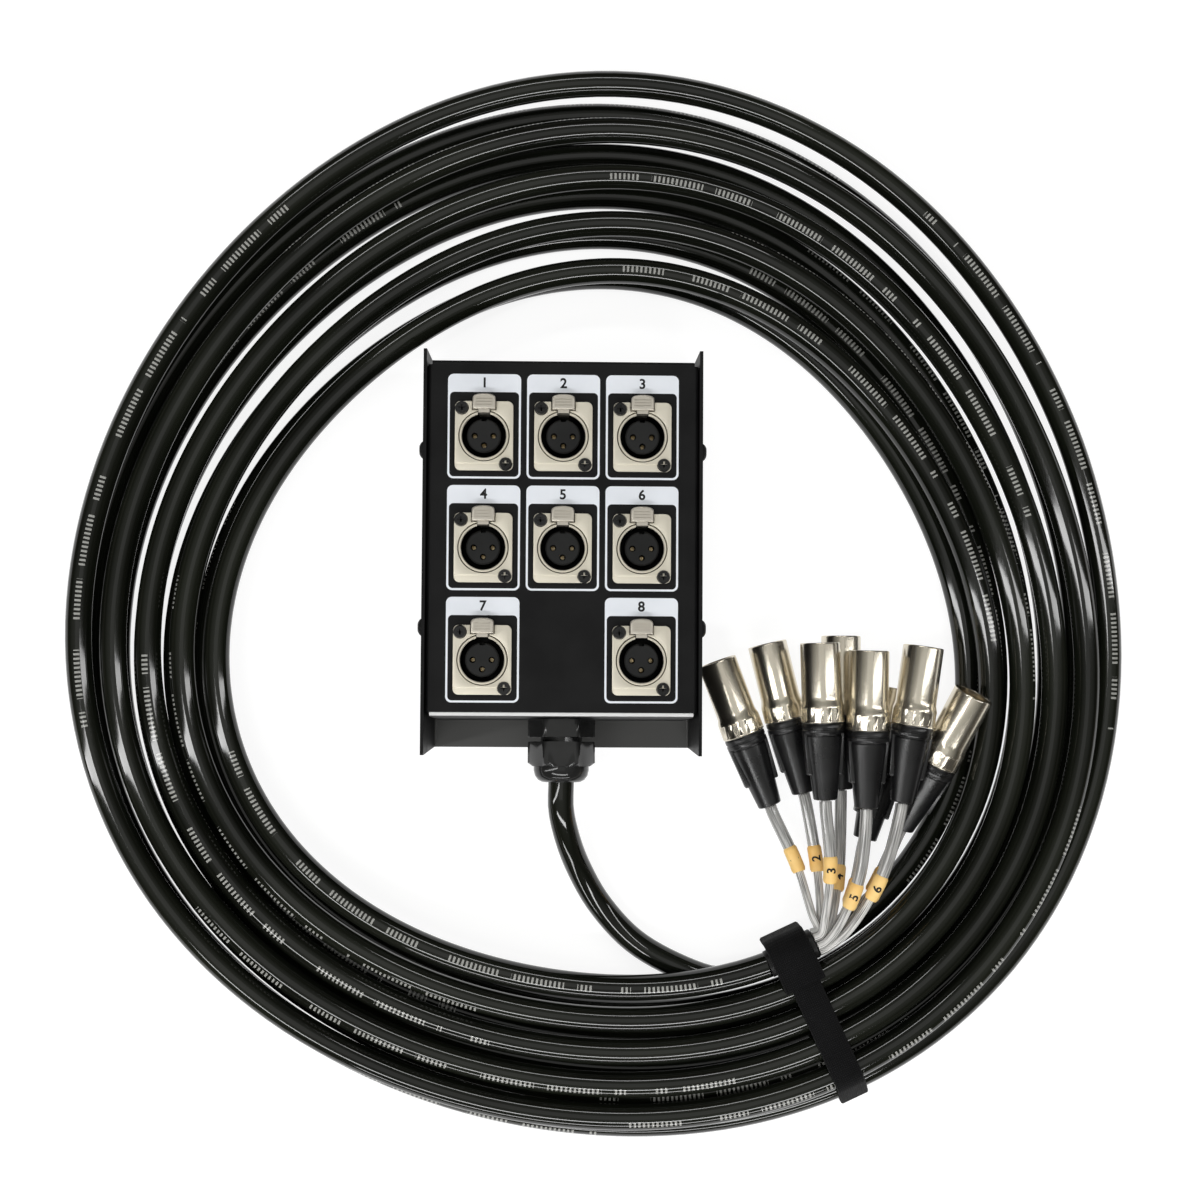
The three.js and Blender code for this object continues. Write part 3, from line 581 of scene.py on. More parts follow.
# %% [markdown]
# ## Jacket, tails, clear sleeves and marker rings
#
# The jacket is smooth black plastic with a green-grey cast, and it is glossy enough to draw long
# bright lines. Its slight waviness is a bump that runs along the cable's own UV map. The print
# uses the same map: groups of plain dashes that spell nothing. Tails are pale grey, and the clear
# shrink tube over them lets that grey through. The rings that number them are warm yellow.

# %% Mix the cable finishes
JACKET = {"Coat Weight": 1.0, "Coat Roughness": 0.07, "Coat IOR": 1.5, "Specular IOR Level": 0.0}
PRINT_TWIST, PRINT_SWING, PRINT_MIDDLE, PRINT_HALF = 2.3, 0.11, 0.27, 0.038
PRINT_GROUPS = ((0.0021, 0.48, 0), (0.0312, 0.8, 0), (0.083, 0.84, 0), (0.61, 0.45, 0.6))
PRINT_COLOUR, JACKET_GLOSS, JACKET_BUMP = (0.32, 0.32, 0.3), (0.4, 0.6), (0.0012, 0.3)
JACKET_DARK, JACKET_LIGHT = (0.0035, 0.0041, 0.0027), (0.0092, 0.0105, 0.007)
JACKET_STRETCH, STRAND_STRETCH, CLOUD_STRETCH = (11, 2, 1), (30, 16, 1), (90, 5, 1)
STREAK_BUMP = (0.0002, 0.3)


def cable_place(tree):
    return result(tree, "ShaderNodeUVMap", uv_map="along")


def axes(tree, vector):
    return tuple(node(tree, "ShaderNodeSeparateXYZ", {"Vector": vector}).outputs)


def printed_dashes(tree, far, turn):
    """A mask of dashes in groups, on a line that drifts round the cable as the cable twists."""
    drift = math_node(tree, "SINE", math_node(tree, "MULTIPLY", far, PRINT_TWIST))
    line = math_node(tree, "MULTIPLY_ADD", drift, PRINT_SWING, PRINT_MIDDLE)
    off_line = math_node(tree, "ABSOLUTE", math_node(tree, "SUBTRACT", turn, line))
    mask = math_node(tree, "LESS_THAN", off_line, PRINT_HALF)
    for length, share, start in PRINT_GROUPS:
        within = math_node(tree, "FRACT", math_node(tree, "MULTIPLY_ADD", far, 1 / length, start))
        mask = math_node(tree, "MULTIPLY", mask, math_node(tree, "LESS_THAN", within, share))
    return mask


def jacket_material():
    material, tree, shader = new_material("cable jacket", (0.008, 0.0085, 0.007), JACKET)
    place = cable_place(tree)
    far, turn = axes(tree, place)[:2]
    drift = stretched_noise(tree, place, JACKET_STRETCH, 1)
    feed(tree, shader.inputs["Roughness"], spread(tree, drift, *JACKET_GLOSS))
    tint(tree, shader, drift, JACKET_DARK, JACKET_LIGHT)
    overlay(tree, shader, printed_dashes(tree, far, turn), PRINT_COLOUR)
    bump(tree, shader, drift, *JACKET_BUMP)
    return material


def streaked(name, dark, light, streak, gloss, coat):
    """Thin plastic over something stringy: fine dark streaks along a pale tube."""
    values = {"Coat Weight": coat, "Coat Roughness": 0.1, "Specular IOR Level": 0.4}
    material, tree, shader = new_material(name, light, values)
    place = cable_place(tree)
    strands = stretched_noise(tree, place, STRAND_STRETCH, 2)
    clouds = stretched_noise(tree, place, CLOUD_STRETCH, 2)
    tint(tree, shader, strands, dark, light, *streak)
    feed(tree, shader.inputs["Roughness"], spread(tree, clouds, *gloss))
    bump(tree, shader, clouds, *STREAK_BUMP)
    return material


cable_jacket = jacket_material()
clear_sleeve = streaked(
    "clear sleeve", (0.12, 0.12, 0.116), (0.44, 0.435, 0.42), (0.34, 0.54), (0.14, 0.3), 0.8
)
tail_grey = streaked(
    "tail jacket", (0.12, 0.12, 0.115), (0.68, 0.67, 0.65), (0.38, 0.5), (0.2, 0.4), 0.3
)
marker_yellow = grained(
    "marker yellow", (0.88, 0.53, 0.16), (0.95, 0.66, 0.26), 500, (0.3, 0.45), 0.00003, 0.2
)


def finish(piece, material, slot, *nodes, body=HOME):
    piece.data.materials.clear()
    piece.data.materials.append(material)
    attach(piece, body)
    if nodes:
        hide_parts(*nodes)
    return piece


finish(multicore, cable_jacket, "cable_jacket", "cable_lead", "cable_coil")
for number, tail in enumerate(tails, 1):
    finish(tail, tail_grey, "tail_jacket", f"tail_{number}")
print("cords with their finish:", 1 + len(tails))

# %% [markdown]
# ## The sleeve where the cable splits
#
# A short shrink sleeve covers the place where the jacket ends and the tails begin. It is a turned
# shape that widens a little towards the tails, with a rolled lip.

# %% Turn the sleeve
sleeve_outline = [
    (0.0, GAP), (0.0060, GAP), (0.0064, GAP * 2), (0.0064, SLEEVE_BACK * 0.9),
    (0.0067, SLEEVE_BACK * 1.3), (0.00695, SLEEVE_LENGTH * 0.92), (0.007, SLEEVE_LENGTH - 0.0006),
    (0.0066, SLEEVE_LENGTH), (0.0, SLEEVE_LENGTH - 0.0004),
]
sleeve = move(turned("split_sleeve", sleeve_outline, SOME_SIDES), sleeve_frame)
finish(sleeve, shrink_sleeve, "boot_rubber", "breakout_sleeve")
print("sleeve:", round(SLEEVE_LENGTH / MM, 1), "mm long")

# %% [markdown]
# ## The gland
#
# The gland is a nylon fitting that grips the cable where it leaves the box: a hexagonal body
# against the wall, and a domed nut that squeezes a rubber seal. A hexagon is a turned shape whose
# radius follows six flats. Where the cone of a chamfer is smaller than the flat, the chamfer
# wins, and that gives the curved shoulders of a real nut.

# %% Turn the gland
FLATS, CHAMFER, SHANK = 0.027, 0.0004, 0.0112


def hexagon(angle, radius, height):
    within = (angle % (math.pi / 3)) - math.pi / 6
    return min(radius, FLATS / 2 / math.cos(within))


corner = FLATS / 2 / math.cos(math.pi / 6)
eased = corner - CHAMFER
body_outline = [
    (0.0076, -0.0115), (SHANK, -0.0115), (SHANK, 0.0003), (eased, 0.0003), (corner, 0.0006),
    (corner, 0.0082), (eased, 0.0085), (0.0097, 0.0085), (0.0097, 0.0169), (0.0076, 0.0169),
]
nut_outline = [
    (0.0103, 0.0106), (eased, 0.0106), (corner, 0.0109), (corner, 0.0203),
    (corner - 0.0022, 0.0219), (0.0128, 0.0221), (0.0128, 0.0237), (0.0122, 0.0262),
    (0.0108, 0.0281), (0.0090, 0.0291), (0.0070, 0.0293), (0.0064, 0.0290), (0.0064, 0.0279),
    (0.0103, 0.0277),
]
for name, outline, node_name in (
    ("gland_fitting", body_outline, "gland_body"), ("gland_cap", nut_outline, "gland_nut"),
):
    piece = move(turned(name, outline, MANY_SIDES, hexagon), gland_frame)
    finish(piece, moulded_nylon, "gland_nylon", node_name)

# %% [markdown]
# ## The strap round the coil
#
# A hook and loop strap holds the coil together. It is a band stretched round the outer loops, so
# its line is the outline of circles at the corners of the bundle, as a rubber band would find it.
# A wider folded head lies over the sleeve.

# %% Stretch the strap
STRAP_SLACK, STRAP_THICK = 0.0012, 0.0016
STRAP_WIDTH, HEAD_WIDTH, HEAD_THICK, HEAD_REACH = 0.014, 0.020, 0.0015, 0.014
BAND_EDGE, BAND_SHARP, CORNER_STEPS, HEAD_LIFT = 0.35, 50, 10, 0.6

strap_place = sleeve_frame @ Vector((0, 0, SLEEVE_BACK))
flat_along = Vector((sleeve_along.x, sleeve_along.y, 0)).normalized()
across = Vector((flat_along.y, -flat_along.x, 0))
strap_turn = Matrix((across, Vector((0, 0, 1)), -flat_along)).transposed().to_4x4()
strap_frame = Matrix.Translation(strap_place) @ strap_turn


def bundle_corner(turns):
    offset = coil_point(turns + STRAP_TURNS) - strap_place
    return Vector((offset.dot(across), offset.z))


strap_corners = [bundle_corner(turns) for turns in (0, LAYER_TURNS, LAYER_TURNS + 1)]
strap_corners.append(Vector((0, 0)))


def band_line(radius):
    """Points round the corners at a radius, anticlockwise, with the way out at each."""
    points = []
    for i, centre in enumerate(strap_corners):
        before, after = strap_corners[i - 1], strap_corners[(i + 1) % len(strap_corners)]
        start = math.atan2(centre.y - before.y, centre.x - before.x) - math.pi / 2
        end = math.atan2(after.y - centre.y, after.x - centre.x) - math.pi / 2
        end += 2 * math.pi if end < start else 0
        for n in range(CORNER_STEPS + 1):
            angle = start + (end - start) * n / CORNER_STEPS
            out = Vector((math.cos(angle), math.sin(angle)))
            points.append((centre + out * radius, out))
    return points


def band(name, line, width, thick, closed=True):
    """A flat band along a line, with rounded edges."""
    half, edge = width / 2, thick * BAND_EDGE
    section = [
        (-half, edge), (-half + edge, 0), (half - edge, 0), (half, edge),
        (half, thick - edge), (half - edge, thick), (-half + edge, thick), (-half, thick - edge),
    ]
    vertices = []
    for point, out in line:
        for side, high in section:
            p = point + out * high
            vertices.append((p.x, p.y, side))
    return mesh_piece(name, vertices, loft_faces(len(line), len(section), closed), BAND_SHARP)


INNER_RADIUS = CABLE_DIAMETER / 2 + STRAP_SLACK
strap_band = band("strap_band", band_line(INNER_RADIUS), STRAP_WIDTH, STRAP_THICK)
arc = band_line(INNER_RADIUS + STRAP_THICK * HEAD_LIFT)[-CORNER_STEPS - 1:]
(top, up_out), (low, low_out) = arc[0], arc[-1]
head_line = [(Vector((HEAD_REACH, top.y)), up_out), *arc, (Vector((low.x, -LAYER_RISE)), low_out)]
head_thick = HEAD_THICK + STRAP_THICK * (1 - HEAD_LIFT)
strap_head = band("strap_head", head_line, HEAD_WIDTH, head_thick, closed=False)
print("strap corners, mm:", [(round(c.x / MM, 1), round(c.y / MM, 1)) for c in strap_corners])

# %% [markdown]
# ## Woven finish for the strap
#
# The strap is a matt black weave with a soft pile. Two wave patterns at right angles, turned to lie
# along the band, give the weave, and a fine noise breaks it up. Sheen gives the pile its soft edge.

# %% Weave the strap's finish
WEAVE_SCALE, WEAVE_WARP = 320, 1.5
PILE_SHARE, PILE_SIZE, PILE_GLOSS, PILE_BUMP = 0.6, 1600, (0.8, 0.95), (0.00025, 0.6)
PILE_DARK, PILE_LIGHT = (0.002, 0.002, 0.0022), (0.0065, 0.0065, 0.007)
WEBBING = {"Sheen Weight": 0.06, "Sheen Roughness": 0.5, "Specular IOR Level": 0.1}


def webbing_material():
    material, tree, shader = new_material("strap webbing", (0.004, 0.004, 0.0043), WEBBING)
    heading = (0, 0, -math.atan2(flat_along.y, flat_along.x))
    inputs = {"Vector": object_place(tree), "Rotation": heading}
    turn = result(tree, "ShaderNodeMapping", inputs)
    inputs = {"Vector": turn, "Scale": WEAVE_SCALE, "Distortion": WEAVE_WARP}
    threads = [
        result(tree, "ShaderNodeTexWave", inputs, "Fac", bands_direction=direction)
        for direction in "XY"
    ]
    grain = effect(tree, GRAIN, PILE_SIZE, PILE_GLOSS)
    weave = math_node(tree, "MULTIPLY", *threads)
    pile = math_node(tree, "MULTIPLY_ADD", grain["Height"], PILE_SHARE, weave)
    feed(tree, shader.inputs["Roughness"], grain["Roughness"])
    tint(tree, shader, pile, PILE_DARK, PILE_LIGHT)
    bump(tree, shader, pile, *PILE_BUMP)
    return material


strap_webbing = webbing_material()
for piece in (strap_band, strap_head):
    finish(move(piece, strap_frame), strap_webbing, "strap_webbing", "coil_strap")
print("strap:", strap_band.name, strap_head.name)

# %% [markdown]
# ## The box's own finish
#
# The tray and the front panel are right as the CAD model has them, so they only get their finish:
# a black powder coat, with the bumps of orange peel. The bay under the gland faces the light more
# openly than the panel does, so its floor is painted a dark grey: painted light. Along the bend
# nearest the gland a pale stripe is a painted highlight, with a smooth glossy coat over it. Masks
# made from heights and distances place both.

# %% Coat the tray and the panel
# The bay floor's dark grey is painted light, lifted above the black coat where it faces the lamps.
BAY_TOP, BAY_PAINTED_LIGHT_COLOUR = 0.0025, (0.078, 0.078, 0.076)
# The pale stripe along the near bend is a painted highlight, with a glossy coat over it.
BEND_MIDDLE, BEND_HIGHLIGHT_REACH, BEND_DEPTH, BEND_CORE = -0.0724, 0.00095, 0.0015, 0.6
BEND_HIGHLIGHT_COLOUR, BEND_HIGHLIGHT_ROUGHNESS = (0.68, 0.68, 0.68), 0.2


def box_coat(name):
    dark, light = (0.006, 0.006, 0.0063), (0.009, 0.009, 0.0093)
    material = grained(name, dark, light, 1500, (0.4, 0.5), 0.00005, 0.25, 0.12)
    tree = material.node_tree
    across, along, height = axes(tree, object_place(tree))
    return material, tree, tree.nodes["Principled BSDF"], along, height


def tray_material():
    material, tree, shader, along, height = box_coat("tray coat")
    # Paints the bay floor a lighter grey, as painted light.
    overlay(tree, shader, math_node(tree, "LESS_THAN", height, BAY_TOP), BAY_PAINTED_LIGHT_COLOUR)
    return material


def panel_material():
    material, tree, shader, along, height = box_coat("panel coat")
    # Paints the highlight stripe along the near bend, and gives only that stripe a coat.
    off_bend = math_node(tree, "ABSOLUTE", math_node(tree, "SUBTRACT", along, BEND_MIDDLE))
    bend_highlight = spread(tree, off_bend, 0.0, 1.0, BEND_HIGHLIGHT_REACH, BEND_HIGHLIGHT_REACH * BEND_CORE)
    on_top = math_node(tree, "GREATER_THAN", height, PANEL_TOP - BEND_DEPTH)
    mask = math_node(tree, "MULTIPLY", bend_highlight, on_top)
    overlay(tree, shader, mask, BEND_HIGHLIGHT_COLOUR)
    feed(tree, shader.inputs["Coat Weight"], mask)
    shader.inputs["Coat Roughness"].default_value = BEND_HIGHLIGHT_ROUGHNESS
    return material


cad_finishes = {
    "base_tray": tray_material(), "front_panel": panel_material(),
    "gland_locknut": moulded_nylon, "gland_seal": boot_rubber, "cable_inner_end": cable_jacket,
}
for name, material in cad_finishes.items():
    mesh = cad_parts[name].data
    mesh.materials.clear()
    mesh.materials.append(material)
print("CAD pieces with a finish:", list(cad_finishes))

# %% [markdown]
# ## Cutting and rounding solids
#
# The sockets are machined pieces: a plate with a bore, a slot and a notch. They are easiest to make
# as a machinist does, by cutting one solid with others. A bevel then takes the sharpness off each
# edge, so that the edges catch the light.

# %% Define cuts, bevels and outlines
EDGE_ANGLE, MITRE_LIMIT, ARC_STEPS, RIM_STEPS = 40, 0.35, 8, 5


def baked(piece):
    graph = bpy.context.evaluated_depsgraph_get()
    return bpy.data.meshes.new_from_object(piece.evaluated_get(graph))


def plain(piece):
    """Bakes a piece's modifiers into its mesh."""
    mesh = baked(piece)
    piece.modifiers.clear()
    piece.data = smoothed(mesh)
    return piece


def carve(piece, cutters):
    for cutter in cutters:
        cut = piece.modifiers.new("cut", "BOOLEAN")
        cut.operation = "DIFFERENCE"
        cut.solver = "EXACT"
        cut.object = cutter
    plain(piece)
    for cutter in cutters:
        bpy.data.objects.remove(cutter)
    return piece


def rounded(piece, width, segments=2):
    edge = piece.modifiers.new("edge", "BEVEL")
    edge.width = width
    edge.segments = segments
    edge.limit_method = "ANGLE"
    edge.angle_limit = math.radians(EDGE_ANGLE)
    return plain(piece)


def rounded_outline(width, height, corner):
    points = []
    for quarter, (sx, sy) in enumerate(((1, 1), (-1, 1), (-1, -1), (1, -1))):
        for n in range(ARC_STEPS + 1):
            angle = math.pi / 2 * (quarter + n / ARC_STEPS)
            x = sx * (width / 2 - corner) + corner * math.cos(angle)
            points.append((x, sy * (height / 2 - corner) + corner * math.sin(angle)))
    return points


def slab(name, outline, bottom, top):
    vertices = [(x, y, z) for z in (bottom, top) for x, y in outline]
    return mesh_piece(name, vertices, loft_faces(2, len(outline)))


def rod(name, radius, low, high, around):
    return turned(name, [(0, low), (radius, low), (radius, high), (0, high)], around)


def bar(name, low, high):
    outline = [(high[0], high[1]), (low[0], high[1]), (low[0], low[1]), (high[0], low[1])]
    return slab(name, outline, low[2], high[2])


def inset(outline, by):
    """The outline, drawn in by a distance along the middle of each corner."""
    drawn = []
    for i, (x, y) in enumerate(outline):
        before, after = Vector(outline[i - 1]), Vector(outline[(i + 1) % len(outline)])
        here = Vector((x, y))
        a, b = (here - before).normalized(), (after - here).normalized()
        inward = Vector((-a.y - b.y, a.x + b.x))
        inward *= by / max(MITRE_LIMIT, inward.length_squared / 2)
        drawn.append((x + inward.x, y + inward.y))
    return drawn


def cushioned(name, outline, bottom, top, soft):
    """A slab whose upper rim is rounded off."""
    vertices = [(x, y, bottom) for x, y in outline]
    for n in range(RIM_STEPS + 1):
        angle = math.pi / 2 * n / RIM_STEPS
        ring = inset(outline, soft * (1 - math.cos(angle)))
        vertices += [(x, y, top - soft * (1 - math.sin(angle))) for x, y in ring]
    return mesh_piece(name, vertices, loft_faces(RIM_STEPS + 2, len(outline)))


def joined(name, *pieces):
    model = bmesh.new()
    for piece in pieces:
        model.from_mesh(piece.data)
        bpy.data.objects.remove(piece)
    mesh = bpy.data.meshes.new(name)
    model.to_mesh(mesh)
    model.free()
    return new_object(name, smoothed(mesh))


# %% [markdown]
# ## Chassis sockets
#
# Each socket is a nickel-plated plate with a raised ring round its bore, a step along its lower
# edge, and a spring tab at the top that lets a plug go. A barrel in a near-black finish lines the
# bore, so the bore shows dark. All eight are alike, so each piece is made once at the origin, and
# copied to the place that the frame gives.

# %% Machine one socket
FLANGE = (0.026, 0.031, 0.0025)
FLANGE_BOTTOM, FLANGE_TOP, FLANGE_EDGE = 0.00005, 0.002, 0.00022
STEP_HEIGHT, STEP_DEPTH = 0.0032, 0.0005
RING_RADIUS, RING_SEAT, RING_FOOT, RING_TOP = 0.011, 0.0105, 0.0008, 0.0026
RING_SHOULDER, RING_EDGE = 0.0004, 0.0003
BORE_RADIUS, BORE_DEPTH, BORE_CLEAR = 0.0099, 0.017, 0.0114
BARREL_RADIUS, BARREL_BOTTOM, BARREL_TOP = 0.0117, -0.020, -0.0002
LIP_RADIUS, LIP_TOP = 0.0106, 0.0006
TAB_SIDE, TAB_FOOT, TAB_END, TAB_CLEAR = 0.00515, 0.0117, 0.0187, 0.00025
STEM_SIDE, SLOT_DEPTH = 0.00275, 0.011
CUT = 0.01


def stem_slot(depth, end):
    return bar("slot", (-STEM_SIDE, 0, -depth), (STEM_SIDE, end, CUT))


notch_side, notch_foot = TAB_SIDE + TAB_CLEAR, TAB_FOOT - TAB_CLEAR
plate = slab("plate", rounded_outline(*FLANGE), FLANGE_BOTTOM, FLANGE_TOP)
plate = carve(
    plate,
    [
        rod("bore", BORE_CLEAR, -CUT, CUT, MANY_SIDES),
        bar("notch", (-notch_side, notch_foot, -CUT), (notch_side, 3 * CUT, CUT)),
        stem_slot(CUT, TAB_FOOT),
        bar(
            "step", (-2 * CUT, -3 * CUT, FLANGE_TOP - STEP_DEPTH),
            (2 * CUT, STEP_HEIGHT - FLANGE[1] / 2, CUT),
        ),
    ],
)
plate = rounded(plate, FLANGE_EDGE)
ring_outline = [
    (RING_SEAT, RING_FOOT), (RING_RADIUS, RING_FOOT), (RING_RADIUS, RING_TOP - RING_SHOULDER),
    (RING_RADIUS - RING_EDGE, RING_TOP), (BORE_RADIUS + RING_EDGE, RING_TOP),
    (BORE_RADIUS, RING_TOP - RING_EDGE), (BORE_RADIUS, RING_FOOT),
]
ring = carve(turned("ring", ring_outline, MANY_SIDES), [stem_slot(CUT, 2 * CUT)])
housing = joined("housing", plate, ring)
barrel_outline = [
    (0, BARREL_BOTTOM), (BARREL_RADIUS, BARREL_BOTTOM), (BARREL_RADIUS, BARREL_TOP),
    (LIP_RADIUS, BARREL_TOP), (LIP_RADIUS, LIP_TOP), (BORE_RADIUS, LIP_TOP),
    (BORE_RADIUS, -BORE_DEPTH), (0, -BORE_DEPTH),
]
barrel = carve(turned("barrel", barrel_outline), [stem_slot(SLOT_DEPTH, 2 * CUT)])
print("one socket:", len(housing.data.polygons), "and", len(barrel.data.polygons), "faces")

# %% [markdown]
# The insert holds three contacts in holes, and has a key slot at the top. The tab has an arched top
# edge, soft corners and three grooves for the fingertip. Its stem reaches down into the barrel.

# %% Mould one insert and one tab
INSERT_RADIUS, INSERT_TOP, INSERT_BOTTOM, INSERT_EDGE = 0.00765, 0.0016, -0.01695, 0.0006
CONTACT_CIRCLE, CONTACT_HOLE, HOLE_BOTTOM, KEY = 0.0042, 0.0014, -0.0074, 0.0012
CONTACT_ANGLES = (0, 180, 270)
TAB_BOTTOM, TAB_TOP, TAB_SOFT = 0.0017, 0.0043, 0.0008
ARCH_RISE, ARCH_POWER, ARCH_STEPS = 0.0024, 0.7, 16
GROOVES, GROOVE_SIDE = (0.0018, 0.0031, 0.0044), TAB_SIDE * 0.72
GROOVE_WIDTH, GROOVE_DEPTH = 0.0004, 0.0005
STEM_HALF, STEM_NEAR, STEM_FAR, STEM_BOTTOM, STEM_TOP = 0.0025, 0.01015, 0.01125, -0.009, 0.0036
NECK_FAR, NECK_BOTTOM, NECK_TOP = 0.0128, 0.0018, 0.0035

insert_outline = [
    (0, INSERT_BOTTOM), (INSERT_RADIUS, INSERT_BOTTOM), (INSERT_RADIUS, INSERT_TOP - INSERT_EDGE),
    (INSERT_RADIUS - INSERT_EDGE, INSERT_TOP), (0, INSERT_TOP),
]
contact_places = [
    (CONTACT_CIRCLE * math.cos(math.radians(a)), CONTACT_CIRCLE * math.sin(math.radians(a)))
    for a in CONTACT_ANGLES
]
holes = [
    move(rod("hole", CONTACT_HOLE, HOLE_BOTTOM, CUT, FEW_SIDES), Matrix.Translation((x, y, 0)))
    for x, y in contact_places
]
holes.append(bar("key", (-KEY, INSERT_RADIUS - KEY, HOLE_BOTTOM), (KEY, CUT, CUT)))
insert = carve(turned("insert", insert_outline), holes)

tab_outline = [(-TAB_SIDE, TAB_FOOT), (TAB_SIDE, TAB_FOOT)]
for n in range(ARCH_STEPS + 1):
    angle = math.pi * n / ARCH_STEPS
    rise = ARCH_RISE * math.sin(angle) ** ARCH_POWER
    tab_outline.append((TAB_SIDE * math.cos(angle), TAB_END - ARCH_RISE + rise))
tab = cushioned("tab", tab_outline, TAB_BOTTOM, TAB_TOP, TAB_SOFT)
grooves = [
    bar(
        "groove", (-GROOVE_SIDE, TAB_FOOT + up, TAB_TOP - GROOVE_DEPTH),
        (GROOVE_SIDE, TAB_FOOT + up + GROOVE_WIDTH, CUT),
    )
    for up in GROOVES
]
tab = carve(tab, grooves)
stem = bar("stem", (-STEM_HALF, STEM_NEAR, STEM_BOTTOM), (STEM_HALF, STEM_FAR, STEM_TOP))
neck = bar("neck", (-STEM_HALF, STEM_NEAR, NECK_BOTTOM), (STEM_HALF, NECK_FAR, NECK_TOP))
latch = joined("latch", tab, stem, neck)
print("one insert and one tab:", len(insert.data.polygons), len(latch.data.polygons), "faces")

# %% [markdown]
# Copies go to the places that the frame gives. The tab rides on its own body, because it moves.

# %% Set the eight sockets
SOCKETS = 8


def copied(name, piece, matrix):
    return move(new_object(name, piece.data.copy()), matrix)


socket_places = []
for number in range(1, SOCKETS + 1):
    low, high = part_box(f"socket_{number}_insert")
    socket_places.append(Vector(((low.x + high.x) / 2, (low.y + high.y) / 2, PANEL_TOP)))
    at = Matrix.Translation(socket_places[-1])
    for name, pattern, material, slot, part, body in (
        ("barrel", barrel, bore_black, "socket_metal", "housing", HOME),
        ("housing", housing, satin_nickel, "socket_metal", "housing", HOME),
        ("insert", insert, insert_plastic, "contact_plastic", "insert", HOME),
        ("tab", latch, tab_nickel_painted_shade, "socket_metal", "latch", f"latch_{number}"),
    ):
        piece = copied(f"{name}_{number}", pattern, at)
        finish(piece, material, slot, f"socket_{number}_{part}", body=body)
for pattern in (housing, barrel, insert, latch):
    bpy.data.objects.remove(pattern)
print("sockets at, mm:", [(round(p.x / MM, 1), round(p.y / MM, 1)) for p in socket_places])

# %% [markdown]
# ## Geometry Nodes for what repeats
#
# Flange screws, contacts and printed labels repeat at known places. Each gets a small node tree
# that makes one of them from named sizes, and puts a copy on every point of a mesh. The result is
# then turned into a plain mesh, because a finished part carries no instances.

# %% Grow pieces on points
def geometry_tree(name, **sizes):
    """A group that takes points, named sizes and a finish, and gives geometry."""
    inputs = {"Points": "NodeSocketGeometry", **sizes, "Finish": "NodeSocketMaterial"}
    return new_group(name, "GeometryNodeTree", inputs, ("Geometry",), "NodeSocketGeometry")


def on_points(tree, given, shape):
    """Puts the shape on every point, as real geometry that has its finish."""
    inputs = {"Points": given["Points"], "Instance": shape}
    copies = result(tree, "GeometryNodeInstanceOnPoints", inputs)
    real = result(tree, "GeometryNodeRealizeInstances", {"Geometry": copies})
    inputs = {"Geometry": real, "Material": given["Finish"]}
    painted = result(tree, "GeometryNodeSetMaterial", inputs)
    node(tree, "NodeGroupOutput", {"Geometry": painted})
    return tree


def shifted(tree, shape, by):
    return result(tree, "GeometryNodeTransform", {"Geometry": shape, "Translation": by})


def less(tree, shape, cutters):
    inputs = {"Mesh 1": shape, "Mesh 2": cutters}
    return result(tree, "GeometryNodeMeshBoolean", inputs, operation="DIFFERENCE")


def grow(name, places, tree, material):
    piece = new_object(name, raw_mesh(name, places))
    grown = piece.modifiers.new("grown", "NODES")
    grown.node_group = tree
    finish_input = next(item for item in tree.interface.items_tree if item.name == "Finish")
    grown[finish_input.identifier] = material
    return plain(piece)


# %% [markdown]
# The flange screws are pan heads with a cross recess, cut by two thin bars. One pair sits at
# opposite corners of each flange.

# %% Drive the flange screws
SCREW_SIDES, SCREW_TAPER, RECESS_LIFT = 28, 0.84, (0, 0, 0.0010)
SCREW_CORNERS = ((-0.0099, 0.0124), (0.0097, -0.0125))


def screw_tree():
    tree, given = geometry_tree("Cross screw", Head=0.0031, Rise=0.0014, Slot=0.0008)
    top = math_node(tree, "MULTIPLY", given["Head"], SCREW_TAPER)
    sizes = {"Radius Bottom": given["Head"], "Radius Top": top, "Depth": given["Rise"]}
    head = result(tree, "GeometryNodeMeshCone", {"Vertices": SCREW_SIDES, **sizes})
    blades = []
    for long, short in ("XY", "YX"):
        size = {long: given["Head"], short: given["Slot"], "Z": given["Rise"]}
        size = result(tree, "ShaderNodeCombineXYZ", size)
        blade = result(tree, "GeometryNodeMeshCube", {"Size": size})
        blades.append(shifted(tree, blade, RECESS_LIFT))
    return on_points(tree, given, less(tree, head, blades))


screw_places = [
    place + Vector((x, y, FLANGE_TOP - (STEP_DEPTH if y < 0 else 0)))
    for place in socket_places
    for x, y in SCREW_CORNERS
]
screws = grow("flange_screws", screw_places, screw_tree(), black_screw)
finish(screws, black_screw, "enclosure_steel")
print("flange screws:", len(screw_places))

# %% [markdown]
# Each contact is a brass tube, set a little below the face of its hole.

# %% Set the contacts
TUBE_SIDES, TUBE_FLOOR, CONTACT_DEPTH = 20, (0, 0, 0.0008), 0.0052


def contact_tree():
    tree, given = geometry_tree("Contact tube", Outside=0.00125, Inside=0.0009, Length=0.006)
    sizes = {"Vertices": TUBE_SIDES, "Depth": given["Length"]}
    outside, inside = [
        result(tree, "GeometryNodeMeshCylinder", {"Radius": given[size], **sizes})
        for size in ("Outside", "Inside")
    ]
    return on_points(tree, given, less(tree, outside, shifted(tree, inside, TUBE_FLOOR)))


contact_height = INSERT_TOP - CONTACT_DEPTH
tube_places = [p + Vector((x, y, contact_height)) for p in socket_places for x, y in contact_places]
contacts = grow("socket_contacts", tube_places, contact_tree(), contact_brass)
finish(contacts, contact_brass, "socket_metal")
print("contacts:", len(tube_places))

